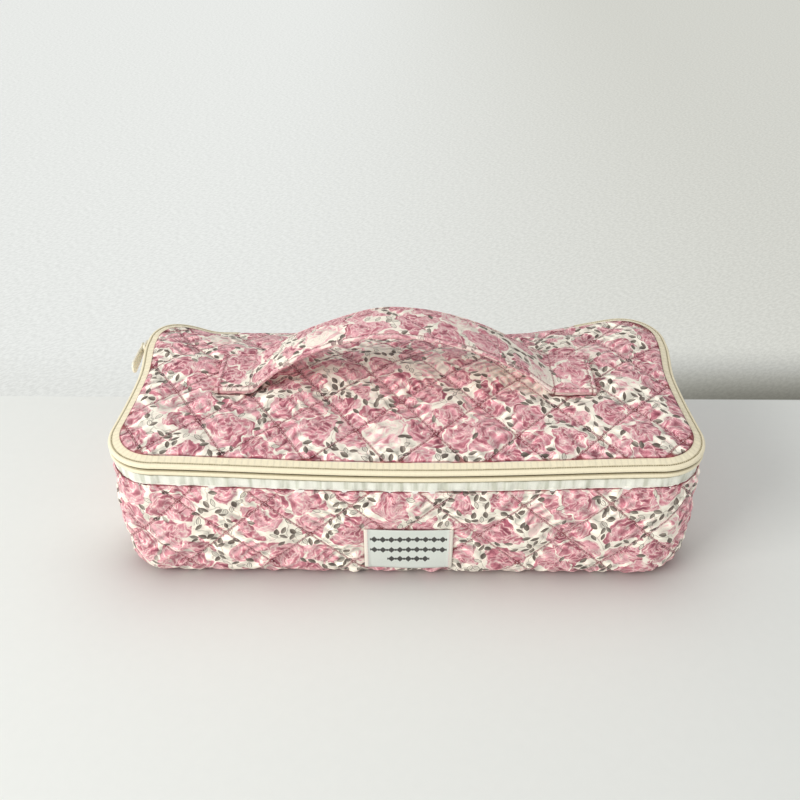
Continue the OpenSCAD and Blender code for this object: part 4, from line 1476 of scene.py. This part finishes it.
def tape_painted_shade(profile):
    """How dark the painted shade at each point of a tape's section is: in the slit and behind the
    ridge.
    """
    u, z = profile.T
    past = np.abs(z - SLIT_Z) - HALF_SLIT
    hidden = smooth((-RIDGE_DEPTH + 0.9 * MM - u) / (0.9 * MM))
    in_slit = smooth((0.9 * MM - past) / (0.7 * MM))
    # The groove's painted shade is seen behind the upper ridge, and under the overhang of the
    # lower one.
    behind = np.exp(-((u + RIDGE_DEPTH + 0.35 * MM) / (0.45 * MM)) ** 2)
    behind *= smooth((past - RIDGE_HEIGHT + 0.9 * MM) / (0.5 * MM))
    under = np.exp(-((past - RIDGE_HEIGHT - 0.85 * MM) / (0.42 * MM)) ** 2)
    groove = np.where(z > SLIT_Z, behind, under)
    return np.maximum(in_slit * (0.5 + 0.5 * hidden), groove)


def tape_flat(profile):
    """1 on the flat of the lower tape, below its ridge, where light is painted cooler, and 0
    elsewhere.
    """
    return smooth((SLIT_Z - HALF_SLIT - RIDGE_HEIGHT - profile[:, 1]) / (0.6 * MM))


def lower_tape_section():
    """The lower tape from its ridge down to where the wall hides it, as [u, z] points."""
    flat_end = RIM_Z - TAPE_TUCK
    ridge_end = SLIT_Z - HALF_SLIT - RIDGE_HEIGHT
    face = [(-RIDGE_DEPTH - 0.35 * MM, ridge_end - 0.1 * MM)]
    face += [(-RIDGE_DEPTH, ridge_end - k * MM) for k in (0.45, 0.75, 1.05, 1.4)]
    face += [(-RIDGE_DEPTH, z) for z in np.linspace(ridge_end - 2 * MM, flat_end, 9)]
    back = [(-RIDGE_DEPTH - TAPE, z) for z in np.linspace(flat_end, ridge_end - 0.5 * MM, 8)]
    return np.array(ridge(-1, 0, -90, 80) + face + back + ridge(-1, TAPE, 60, -90, 8))


def upper_tape_section():
    """The upper tape from its ridge in to where the lid hides it, as [u, z] points."""
    ridge_end = SLIT_Z + HALF_SLIT + RIDGE_HEIGHT
    seam = np.array([LID_SEAM_U, LID_EDGE_Z])
    groove = (-RIDGE_DEPTH - 0.35 * MM, ridge_end - 0.15 * MM)
    start = np.array([-RIDGE_DEPTH - 0.9 * MM, ridge_end + 0.2 * MM])
    face = [groove] + [tuple(start + (seam - start) * k / 6) for k in range(7)]
    end = [(LID_SEAM_U - TAPE_TUCK, LID_EDGE_Z), (LID_SEAM_U - TAPE_TUCK, LID_EDGE_Z - TAPE)]
    back = [(p[0], p[1] - TAPE) for p in reversed(face[1:])]
    return np.array(ridge(1, 0, -90, 85) + face + end + back + ridge(1, TAPE, 60, -90, 8))


def lower_pucker(s, profile):
    """Small gathers in the flat of the lower tape, none at its ridge."""
    depth = smooth((SLIT_Z - HALF_SLIT - RIDGE_HEIGHT - profile[:, 1]) / (4 * MM))
    gather = ripple(s, 110, 9) * 0.45 * MM
    return gather * depth[None, :], 0.12 * MM * ripple(s, 60, 10) * depth[None, :]


def upper_pucker(s, profile):
    """Small gathers in the flat of the upper tape, none at its ridge or its seam."""
    share = (-RIDGE_DEPTH - profile[:, 0]) / (-RIDGE_DEPTH - LID_SEAM_U)
    depth = np.sin(np.pi * np.clip(share, 0, 1))
    return 0 * s * depth[None, :], 0.2 * MM * ripple(s, 120, 11) * depth[None, :]


ZIP_START = TAIL_X
ZIP_END = ROUND - TAIL_X


class KNITTINGBAG_OT_zip(bpy.types.Operator):
    """Build the zip: two woven tapes with rolled edges, and their coils"""

    bl_idname = "knitting_bag.zip"
    bl_label = "Build Zip"

    def execute(self, context):
        section = lower_tape_section()
        # The tapes carry painted shade for the slit and grooves; the lower flat takes painted
        # cool light.
        obj = round_band("lower_tape", section, ZIP_START, ZIP_END, 1.5 * MM, lower_pucker,
                         Crease=tape_painted_shade(section), Flat=tape_flat(section))
        finish_piece(obj, "bag", "zip_tape", "lower_zip_tape")
        section = upper_tape_section()
        obj = round_band("upper_tape", section, ZIP_START, ZIP_END, 1.5 * MM, upper_pucker,
                         Crease=tape_painted_shade(section))
        finish_piece(obj, "lid", "zip_tape", "upper_zip_tape")
        s = np.arange(ZIP_START + 2 * MM, ZIP_END - 2 * MM, 2 * MM)
        flat, _ = plan(s, np.full(s.shape, COIL_U))
        for side, body, node in ((-1, "bag", "lower_zip_coil"), (1, "lid", "upper_zip_coil")):
            z = np.full(len(s), SLIT_Z + side * (HALF_SLIT + RIDGE_HEIGHT / 2 - 0.1 * MM))
            line = settle(np.column_stack([flat, z]))
            obj = stitch_lines(node + "_turns", line, [range(len(s))])
            grow(obj, tree("Zip coil", coil_tree), Pitch=sizes().tooth_pitch,
                 Depth=0.95 * MM, Height=1.55 * MM, Radius=0.3 * MM,
                 Material=material("zip_coil"))
            finish_piece(obj, body, "zip_coil", node)
        return {"FINISHED"}


# ---------- hinge ----------

class KNITTINGBAG_OT_hinge(bpy.types.Operator):
    """Build the fabric hinge along the back, and its lining"""

    bl_idname = "knitting_bag.hinge"
    bl_label = "Build Hinge"

    def execute(self, context):
        bend_z = SLIT_Z + HALF_SLIT + RIDGE_HEIGHT
        face = [(-0.4 * MM, RIM_Z - 1.5 * MM), (-0.6 * MM, RIM_Z + 1 * MM)]
        face += [(-RIDGE_DEPTH, z) for z in np.linspace(RIM_Z + 3 * MM, bend_z - 1 * MM, 9)]
        face += [(-RIDGE_DEPTH - 0.3 * MM, bend_z), (-3 * MM, bend_z + 0.9 * MM),
                 (LID_SEAM_U, LID_EDGE_Z + 0.5 * MM), (LID_SEAM_U - MM, LID_EDGE_Z + 0.3 * MM)]
        inner_face = [(LID_SEAM_U + TAPE, LID_EDGE_Z - 3.2 * MM)]
        inner_face += [(-4.6 * MM, z) for z in np.linspace(bend_z - 2 * MM, RIM_Z - MM, 8)]
        # The lining's thickness lies on the other side of its line.
        for name, line, thickness, slot, node in (
                ("hinge_fabric", face, 0.6 * MM, "print_fabric", "hinge_strip"),
                ("hinge_lining_cloth", inner_face, -0.5 * MM, "lining", "hinge_lining")):
            line = np.array(line)
            way = np.gradient(line, axis=0)
            way /= np.linalg.norm(way, axis=1)[:, None]
            turned = np.column_stack([way[:, 1], -way[:, 0]])
            section = np.vstack([line, (line - turned * thickness)[::-1]])
            x = np.linspace(-TAIL_X + 0.2 * MM, TAIL_X - 0.2 * MM, 120)
            u = section[:, 0] + 0.25 * MM * ripple(x[:, None], 90, 17)
            z = np.broadcast_to(section[:, 1], u.shape)
            co = np.stack([np.broadcast_to(x[:, None], u.shape), HALF_DEPTH + u, z], -1)
            obj = band(name, settle(co), x, section_lengths(section))
            finish_piece(obj, None, slot, node)
            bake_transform(obj)
        return {"FINISHED"}


# ---------- handle ----------

def rises(place, first, last, reach):
    """0 before a first place and past a last one, and 1 further inside than a reach."""
    return smooth((place - first) / reach) * smooth((last - place) / reach)


class Strap:
    """The strap's line, from its left sewn end over the arch to its right one."""

    def __init__(self):
        rise = CREST.z - STRAP_THICKNESS - LID_TOP_Z - END_LIFT + 1.5 * MM
        left, right = LEFT_END[1][0], RIGHT_END[0][0]
        x = np.arange(LEFT_END[0][0], RIGHT_END[1][0] + 0.1 * MM, 0.25 * MM)
        half = np.where(x < CREST.x, CREST.x - left, right - CREST.x)
        arch = rise * (1 - ((x - CREST.x) / half) ** 2)
        z = LID_TOP_Z + END_LIFT + np.where((x > left) & (x < right), arch, 0)
        spread = 12
        weights = np.exp(-0.5 * (np.arange(-3 * spread, 3 * spread + 1) / spread) ** 2)
        weights /= weights.sum()
        padded = np.pad(z, 3 * spread, mode="edge")
        eased = np.convolve(padded, weights, "valid")
        z = eased + (z - eased) * rises(x, left + 12 * MM, right - 12 * MM, 10 * MM)
        self.x, self.z = x, z
        self.length = np.concatenate([[0], np.cumsum(np.hypot(np.diff(x), np.diff(z)))])
        way = np.column_stack([np.gradient(x), np.gradient(z)])
        self.way = way / np.linalg.norm(way, axis=1)[:, None]

    def at(self, where):
        """Underside point and upward direction, both [x, z], at distances along the line."""
        line = [np.interp(where, self.length, value)
                for value in (self.x, self.z, self.way[:, 0], self.way[:, 1])]
        way = np.column_stack(line[2:])
        way /= np.linalg.norm(way, axis=1)[:, None]
        return np.column_stack(line[:2]), np.column_stack([-way[:, 1], way[:, 0]])

    def place_of(self, x):
        return float(np.interp(x, self.x, self.length))


HEM = 2.6 * MM
END_LIFT = 1.4 * MM
# The quilting that crosses the strap on the slant: its pitch, its slopes and its start.
STRAP_PITCH = 34 * MM
SLANT_ALONG, SLANT_ACROSS, SLANT_START = 0.72, 0.7, 0.37


def rounded(height, inside):
    """A height of the strap's face, brought round to half its thickness at the edges."""
    round_edge = np.sqrt(np.clip(1 - (1 - np.clip(inside / (1.5 * MM), 0, 1)) ** 2, 0, 1))
    return STRAP_THICKNESS / 2 + (height - STRAP_THICKNESS / 2) * round_edge


def strap_top(where, across):
    """Height of the strap's top face above its underside: hemmed edges, padded middle."""
    inside = HALF_STRAP - np.abs(across)
    groove = 0.45 * MM * np.exp(-((inside - HEM) / (0.7 * MM)) ** 2)
    pad = 0.9 * MM * np.sin(np.pi * np.clip((inside - HEM) / (2 * (HALF_STRAP - HEM)), 0, 1))
    lattice = (where * SLANT_ALONG + across * SLANT_ACROSS) / STRAP_PITCH + SLANT_START
    to_line = np.abs(lattice - np.round(lattice)) * STRAP_PITCH
    crease = 0.9 * MM * np.exp(-(to_line / (1.5 * MM)) ** 2)
    small = (0.16 * MM * np.sin(where * 520 + 3 * np.sin(across * 160))
             + 0.12 * MM * np.sin(where * 910 - across * 420 + 1.3))
    soft = smooth(inside / (4 * MM))
    height = STRAP_THICKNESS - 0.5 * MM - groove + pad - crease * soft + small * soft
    return rounded(height, inside)


def strap_bottom(where, across):
    """Height of the strap's underside. The sewn ends reach down into the quilting."""
    return rounded(0.25 * MM * np.sin(where * 430 + across * 210), HALF_STRAP - np.abs(across))


def strap_rows(strap):
    """Places along the strap of the rows of stitches across its sewn ends."""
    inset = 2.5 * MM
    return np.array([inset, strap.place_of(LEFT_END[1][0] - 2 * MM),
                     strap.place_of(RIGHT_END[0][0] + 2 * MM), strap.length[-1] - inset])


def strap_place(strap, where, across, height):
    """Points of the strap: its arch is a little narrower than its ends, and twists."""
    line, up = strap.at(where)
    if height.ndim == 2:
        line, up, where = line[:, None], up[:, None], where[:, None]
    rows = strap_rows(strap)
    free = rises(where, rows[1], rows[2], 18 * MM)
    twist = 2.6 * MM * np.maximum(across / HALF_STRAP, 0) * hump((line[..., 0] + 45 * MM)
                                                                 / (35 * MM))
    x = line[..., 0] + up[..., 0] * height
    z = line[..., 1] + up[..., 1] * height - twist
    return settle(np.stack([x, across * (1 - 0.15 * free), z], -1))


def strap_piece(name, strap, start, end):
    """A stretch of the strap as a closed padded mesh."""
    count = max(2, int(round((end - start) / (1.2 * MM))))
    where = np.linspace(start, end, count + 1)
    turn = np.linspace(0, math.pi, 55)
    across = HALF_STRAP * np.sign(np.cos(turn)) * np.abs(np.cos(turn)) ** 0.8
    rims, shades, hems = [], [], []
    rows = strap_rows(strap)
    sewn = 1 - rises(where, rows[1], rows[2], 9 * MM)
    to_row = np.abs(where[:, None] - rows[None, :]).min(1)
    for values, height in ((across, strap_top), (across[::-1][1:-1], strap_bottom)):
        h = height(where[:, None], values[None, :])
        to_hem = np.abs(HALF_STRAP - np.abs(values) - HEM)
        if height is strap_bottom:
            h = h - END_LIFT * sewn[:, None]
        # Painted shade along the cross rows of stitches and the hem grooves.
        distance = np.minimum(to_row[:, None], to_hem[None, :])
        shades.append(near(distance))
        hem = smooth((np.abs(values) - HALF_STRAP + HEM - 0.3 * MM) / (0.8 * MM))
        hems.append(np.broadcast_to(hem[None, :], distance.shape))
        rims.append(strap_place(strap, where, values[None, :], h))
    co = np.concatenate(rims, 1)
    places = np.concatenate([across + 0.5, -across[1:] + 0.5 - 2 * HALF_STRAP])
    obj = band(name, co, where + 0.31, places)
    mark(obj.data, np.concatenate(shades, 1).ravel())
    mark(obj.data, np.concatenate(hems, 1).ravel(), "Hem")
    return obj


def strap_line(strap, where, across, lift):
    """Points just above the strap's top face."""
    return strap_place(strap, where, across, strap_top(where, across) + lift)


class KNITTINGBAG_OT_handle(bpy.types.Operator):
    """Build the padded strap: two sewn ends that curve up into the arch, the arch and their
    stitching
    """

    bl_idname = "knitting_bag.handle"
    bl_label = "Build Handle"

    def execute(self, context):
        strap = Strap()
        cuts = [0.0, strap.place_of(ARCH[0]), strap.place_of(ARCH[1]), strap.length[-1]]
        rows = (("strap_left", (LEFT_END[1][0], ARCH[0]),
                 ["handle_left_end", "handle_left_bend"]),
                ("strap_arch", None, ["handle_cover", "handle_padding"]),
                ("strap_right", (RIGHT_END[0][0], ARCH[1]),
                 ["handle_right_end", "handle_right_bend"]))
        for (name, fold, nodes), start, end in zip(rows, cuts, cuts[1:]):
            obj = strap_piece(name, strap, start, end)
            finish_piece(obj, None if fold else "handle", "print_fabric", *nodes)
            stitches = self.stitches(strap, name, start, end)
            if not fold:
                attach(stitches, "handle")
                continue
            for piece in (obj, stitches):
                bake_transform(piece)
        return {"FINISHED"}

    def stitches(self, strap, name, start, end):
        """Rows of stitches along both hems, with the cross rows of a sewn end."""
        lift = 0.12 * MM
        reach = HALF_STRAP - HEM
        rows = strap_rows(strap)
        start, end = max(start, rows[0]), min(end, rows[-1])
        count = int((end - start) / MM)
        where = np.linspace(start, end, count)
        lines = [strap_line(strap, where, np.full(count, side * reach), lift)
                 for side in (-1, 1)]
        across = np.linspace(-reach, reach, 34)
        for place in rows[(rows >= start) & (rows <= end)]:
            lines.append(strap_line(strap, np.full(len(across), place), across, lift))
        for line_number in range(-2, 9):
            slant = ((line_number - SLANT_START) * STRAP_PITCH
                     - across * SLANT_ACROSS) / SLANT_ALONG
            kept = (slant > start) & (slant < end)
            if kept.sum() > 3:
                lines.append(strap_line(strap, slant[kept], across[kept], lift))
        points = np.vstack(lines)
        counts = np.cumsum([0] + [len(line) for line in lines])
        chains = [range(a, b) for a, b in zip(counts, counts[1:])]
        obj = sew(name + "_stitches", points, chains, None)
        if name == "strap_left":
            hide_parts("handle_end_stitching")
        return obj


# ---------- label ----------

class KNITTINGBAG_OT_label(bpy.types.Operator):
    """Build the woven label with its folded ends and its two rows of stitches"""

    bl_idname = "knitting_bag.label"
    bl_label = "Build Label"

    def execute(self, context):
        (s0, t0), (s1, t1) = label_span()
        rows, cols = 60, 32
        s, t = np.meshgrid(np.linspace(s0, s1, rows), np.linspace(t0, t1, cols),
                           indexing="ij")
        near_end = np.minimum(s - s0, s1 - s)
        along, down = (s - s0) / (s1 - s0), (t - t0) / (t1 - t0)
        belly = 0.9 * MM
        bow = (belly * np.clip(np.sin(np.pi * along), 0, 1) ** 0.6
               + 0.35 * MM * np.sin(np.pi * along * 2.3 + 0.4) * np.sin(np.pi * down * 1.2))
        fold = 0.35 * MM * smooth((3 * MM - near_end) / (0.8 * MM))
        lift, thickness = 0.25 * MM, 0.35 * MM
        face, _ = wall_point(s, t, -(lift + thickness + bow + fold))
        back, _ = wall_point(s, t, -(lift + bow * 0.9))
        co = settle(np.concatenate([face, back[:, ::-1]], 1))
        down = t[0] - (t0 + t1) / 2
        across = np.concatenate([down, down[::-1] - 0.1, [down[0]]])
        obj = band("woven_label", co, s[:, 0] - (s0 + s1) / 2, across)
        finish_piece(obj, "bag", "label", "label")
        inset, count = 2 * MM, 28
        lines = []
        for place in (s0 + inset, s1 - inset):
            bow = belly * np.sin(np.pi * np.full(count, (place - s0) / (s1 - s0))) ** 0.6
            co, _ = wall_point(np.full(count, place), np.linspace(t0 + MM, t1 - MM, count),
                               -(1.25 * MM + bow))
            lines.append(settle(co))
        stitches = sew("label_stitches", np.vstack(lines),
                       [range(count), range(count, 2 * count)], "bag")
        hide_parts("label_stitching")
        return {"FINISHED"}


# ---------- slider ----------

def bevelled(name, outline, low, high, bevel):
    """A plate of a [y, z] outline between two places in x, with rounded edges."""
    mesh = bpy.data.meshes.new(name)
    shell = bmesh.new()
    near = [shell.verts.new((low, p[0], p[1])) for p in outline]
    far = [shell.verts.new((high, p[0], p[1])) for p in outline]
    shell.faces.new(near)
    shell.faces.new(far[::-1])
    for k in range(len(outline)):
        m = (k + 1) % len(outline)
        shell.faces.new((near[k], far[k], far[m], near[m]))
    bmesh.ops.recalc_face_normals(shell, faces=shell.faces[:])
    sharp = [e for e in shell.edges if e.calc_face_angle(0) > math.radians(50)]
    bmesh.ops.bevel(shell, geom=sharp, offset=bevel, segments=3, profile=0.6,
                    affect="EDGES", clamp_overlap=True)
    shell.to_mesh(mesh)
    shell.free()
    mesh.shade_smooth()
    return mesh


def tube(points, radius, sides=10):
    """A round rod along points in space, as a mesh with closed ends."""
    points = np.asarray(points, float)
    way = np.gradient(points, axis=0)
    way /= np.linalg.norm(way, axis=1)[:, None]
    side = np.cross(way, (0, 0, 1.0))
    side[np.linalg.norm(side, axis=1) < 1e-6] = (0, 1, 0)
    side /= np.linalg.norm(side, axis=1)[:, None]
    other = np.cross(side, way)
    turns = [2 * math.pi * k / sides for k in range(sides)]
    co = np.stack([points + radius * (side * math.cos(a) + other * math.sin(a))
                   for a in turns], 1)
    obj = band("rod", co, np.arange(len(points)) * MM, np.arange(sides + 1) * MM)
    mesh = obj.data
    bpy.data.objects.remove(obj)
    return mesh


def joined(name, meshes):
    """One object of several meshes."""
    whole = bmesh.new()
    for mesh in meshes:
        whole.from_mesh(mesh)
    mesh = bpy.data.meshes.new(name)
    whole.to_mesh(mesh)
    whole.free()
    mesh.shade_smooth()
    for source in meshes:
        bpy.data.meshes.remove(source)
    return link(mesh, name)


def plate_line(y, z, half, width):
    """A slider plate: round at its front, narrower at its rear, where the chain leaves."""
    front, rear = -half, half
    points = []
    for a in np.radians(np.linspace(-90, 90, 9)):
        points.append((front + half * 0.45 - half * 0.45 * math.cos(a),
                       -width / 2 * math.sin(a)))
    for a in np.radians(np.linspace(90, -90, 7)):
        points.append((rear - half * 0.3 + half * 0.3 * math.cos(a),
                       width * 0.36 * -math.sin(a)))
    return [(y + p[0], z + p[1]) for p in points]


class KNITTINGBAG_OT_slider(bpy.types.Operator):
    """Build the zip's slider and its pull"""

    bl_idname = "knitting_bag.slider"
    bl_label = "Build Slider"

    def execute(self, context):
        low, high = SLIDER
        y = (low[1] + high[1]) / 2
        half = (high[1] - low[1]) / 2
        width = high[2] - low[2]
        outer_face = -HALF_LENGTH - 0.35 * MM
        outer_top = outer_face - 1.5 * MM
        inner_face = high[0] - 1.1 * MM
        plate = plate_line(y, SLIT_Z, half, width)
        web_start, web_end, web = y - half + 1 * MM, y - half + 5 * MM, 0.2 * MM
        web_line = [(web_start, SLIT_Z - web), (web_end, SLIT_Z - web),
                    (web_end, SLIT_Z + web), (web_start, SLIT_Z + web)]
        rise = outer_top - (low[0] + 0.55 * MM)
        span = 3.7 * MM
        bow = [(outer_top + 0.3 * MM - rise * math.sin(a) ** 0.6, y - span * math.cos(a),
                SLIT_Z) for a in np.radians(np.linspace(0, 180, 15))]
        slider = joined("slider_case", [
            bevelled("outer", plate, outer_top, outer_face, 0.45 * MM),
            bevelled("inner", plate, inner_face, high[0], 0.35 * MM),
            bevelled("web", web_line, outer_face - 0.2 * MM, inner_face + 0.2 * MM,
                     0.05 * MM),
            tube(bow, 0.75 * MM)])
        finish_piece(slider, "slider", "slider_paint", "slider_body")
        self.pull(y)
        return {"FINISHED"}

    def pull(self, y):
        low, high = PULL
        x = (low[0] + high[0]) / 2
        half = (high[0] - low[0]) / 2
        width = (high[2] - low[2]) / 2
        eye_reach = 4.5 * MM
        bar_reach = width - 0.9 * MM
        meshes = [tube([(x, y, SLIT_Z + bar_reach * k / 4) for k in range(-4, 5)],
                       half * 0.95)]
        for side in (-1, 1):
            arm = [(x, y + 0.2 * MM - (eye_reach + MM) * k / 6,
                    SLIT_Z + side * (2.5 * MM + 0.2 * MM * math.sin(k))) for k in range(7)]
            meshes.append(tube(arm, half * 0.95))
        tab = [(low[1] + width - width * math.cos(a), SLIT_Z - width * math.sin(a))
               for a in np.radians(np.linspace(-90, 90, 15))]
        neck = y - eye_reach + 0.4 * MM
        tab += [(neck - 6 * MM, SLIT_Z - width * 0.86), (neck, SLIT_Z - width * 0.7),
                (neck, SLIT_Z + width * 0.7), (neck - 6 * MM, SLIT_Z + width * 0.86)]
        meshes.append(bevelled("tab", tab, low[0] + 0.05 * MM, high[0] - 0.05 * MM,
                               0.4 * MM))
        obj = joined("pull", meshes)
        finish_piece(obj, "pull", "slider_paint", "pull_tab")


# ---------- stage ----------

def area_lamp(name, energy, width, height, place, aim, tint=(1, 1, 1)):
    """A large soft lamp at a place, turned to look at a point."""
    data = bpy.data.lights.new(name, "AREA")
    data.shape = "RECTANGLE"
    data.size, data.size_y = width, height
    data.energy = energy
    data.color = tint
    obj = bpy.data.objects.new(name, data)
    obj.location = place
    obj.rotation_euler = (Vector(aim) - Vector(place)).to_track_quat("-Z", "Y").to_euler()
    bpy.context.scene.collection.objects.link(obj)


class KNITTINGBAG_OT_stage(bpy.types.Operator):
    """Build the floor, the lamps and the camera"""

    bl_idname = "knitting_bag.stage"
    bl_label = "Build Stage"

    def execute(self, context):
        scene = bpy.context.scene
        aim = (0, 0, 0.05)
        area_lamp("key_lamp", 14.5, 0.8, 0.7, (-1.15, -0.75, 0.9), aim, (1, 1, 0.98))
        world = bpy.data.worlds.new("studio")
        world.use_nodes = True
        background = world.node_tree.nodes["Background"]
        n = Nodes(world.node_tree)
        # The room is brighter towards the front.
        away = n.split(n.add("ShaderNodeTexCoord").outputs["Generated"])[1]
        n.give(background, Strength=0.66,
               Color=n.scaled((1, 1, 1), n.step(away, -0.3, 0.9, 1.06, 0.66)))
        scene.world = world
        camera = bpy.data.cameras.new("camera")
        camera.lens = 38.25
        camera.sensor_width = 36
        obj = bpy.data.objects.new("camera", camera)
        scene.collection.objects.link(obj)
        obj.location = (-0.0003, -0.41284, 0.38049)
        obj.rotation_euler = (math.radians(90 - 36.83), 0, math.radians(0.47))
        scene.camera = obj
        scene.view_settings.view_transform = "Standard"
        self.floor()
        return {"FINISHED"}

    def floor(self):
        """A table top with a painted shadow at the bag's foot, and a paler plaster ground behind
        the bag.
        """
        mesh = bpy.data.meshes.new("floor")
        reach = 6.0
        mesh.from_pydata([(-reach, -reach, 0), (reach, -reach, 0), (reach, reach, 0),
                          (-reach, reach, 0)], [], [(0, 1, 2, 3)])
        obj = link(mesh, "floor")
        material, n, shader = new_material("floor", Roughness=0.6, Specular_IOR_Level=0.2)
        place = object_place(n)
        grain = n.noise(place, 160, 3, 0.6, flat=False)
        x, y = n.split(place)[:2]
        plain = tinted(n, rgba(colours().table), grain, 0.006)
        n.give(shader, Base_Color=self.painted_foot_shadow(n, x, y, plain))
        self.backdrop(n, shader, material, x, y)
        mesh.materials.append(material)

    def painted_foot_shadow(self, n, x, y, colour_value):
        """The table's colour with a painted shadow, deeper and rosier close in front of the bag's
        foot.
        """
        over = [n.largest(n.minus(n.absolute(v), core), 0.0)
                for v, core in ((x, CORE_X), (y, CORE_Y))]
        gap = n.minus(n.vector("LENGTH", n.join(*over)), CORNER + ROLL_U)
        near_foot = n.math("EXPONENT", n.times(gap, -1 / (20 * MM)), clamp=True)
        near_foot = n.times(near_foot, n.step(y, -0.02, -0.075))
        shade = n.scaled((-0.66, -0.77, -0.77), near_foot)
        return n.vector("MULTIPLY", colour_value, n.vector("ADD", shade, (1, 1, 1)))

    def backdrop(self, n, shader, material, x, y):
        """Behind the bag the table ends in a glowing pale plaster ground with painted light and
        shadow.
        """
        wall_y = 0.098
        strokes = n.vector("MULTIPLY", n.turned(n.join(x, y), math.radians(-35)), (0.45, 1, 1))
        grain = n.noise(strokes, 500, 3, 0.65)
        # Painted shadow of the bag low on the right, and painted light that dims to the right;
        # both warmer.
        low = n.times(n.step(y, 0.175, 0.085), n.step(x, -0.1, 0.27, 0.06, 0.76))
        painted_light = n.times(n.step(x, -0.25, 0.45, 1.0, 0.82), n.minus(1, low))
        painted_light = n.times(painted_light, n.step(grain, 0.3, 0.7, 0.93, 1.06))
        warmth = n.largest(low, n.step(x, -0.2, 0.4, 0, 0.3))
        tone = n.mix(warmth, rgba(colours().wall), rgba(linear("E2DFCB")))
        glow = n.add("ShaderNodeEmission", {"Color": n.scaled(tone, painted_light)})
        # Close behind the bag and far to its sides the table stays as it is.
        beside = n.absolute(x)
        clear = n.largest(n.step(beside, 0.11, 0.15), n.step(y, 0.13, 0.18))
        clear = n.times(clear, n.step(n.minus(beside, n.times(y, 0.38)), 0.38, 0.27))
        clear = n.times(clear, n.step(y, 2.4, 1.5))
        behind = n.times(clear, n.step(y, wall_y - 0.001, wall_y + 0.0005))
        seen = n.add("ShaderNodeLightPath").outputs["Is Camera Ray"]
        both = n.add("ShaderNodeMixShader", {0: n.times(behind, seen), 1: shader.outputs[0],
                                             2: glow.outputs[0]})
        n.give(material.node_tree.nodes["Material Output"], Surface=both.outputs[0])


# ---------- panel ----------

BUILDERS = (KNITTINGBAG_OT_stage, KNITTINGBAG_OT_wall, KNITTINGBAG_OT_base,
            KNITTINGBAG_OT_lid, KNITTINGBAG_OT_zip, KNITTINGBAG_OT_hinge,
            KNITTINGBAG_OT_handle, KNITTINGBAG_OT_label, KNITTINGBAG_OT_slider)


class KNITTINGBAG_PT_panel(bpy.types.Panel):
    """Sizes, colours and build steps of the knitting bag"""

    bl_idname = "KNITTINGBAG_PT_panel"
    bl_label = "Knitting Bag"
    bl_space_type = "VIEW_3D"
    bl_region_type = "UI"
    bl_category = "Knitting Bag"

    def draw(self, context):
        column = self.layout.column()
        for builder in BUILDERS:
            column.operator(builder.bl_idname)
        for group in (context.scene.knitting_bag_sizes, context.scene.knitting_bag_colours):
            column.separator()
            for name in group.__annotations__:
                column.prop(group, name)


CLASSES = (KnittingBagSizes, KnittingBagColours) + BUILDERS + (KNITTINGBAG_PT_panel,)


def register():
    for cls in CLASSES:
        bpy.utils.register_class(cls)
    bpy.types.Scene.knitting_bag_sizes = bpy.props.PointerProperty(type=KnittingBagSizes)
    bpy.types.Scene.knitting_bag_colours = bpy.props.PointerProperty(type=KnittingBagColours)


def unregister():
    del bpy.types.Scene.knitting_bag_colours
    del bpy.types.Scene.knitting_bag_sizes
    for cls in reversed(CLASSES):
        bpy.utils.unregister_class(cls)


def main():
    register()
    for builder in BUILDERS:
        family, name = builder.bl_idname.split(".")
        getattr(getattr(bpy.ops, family), name)()


if __name__ == "__main__":
    main()
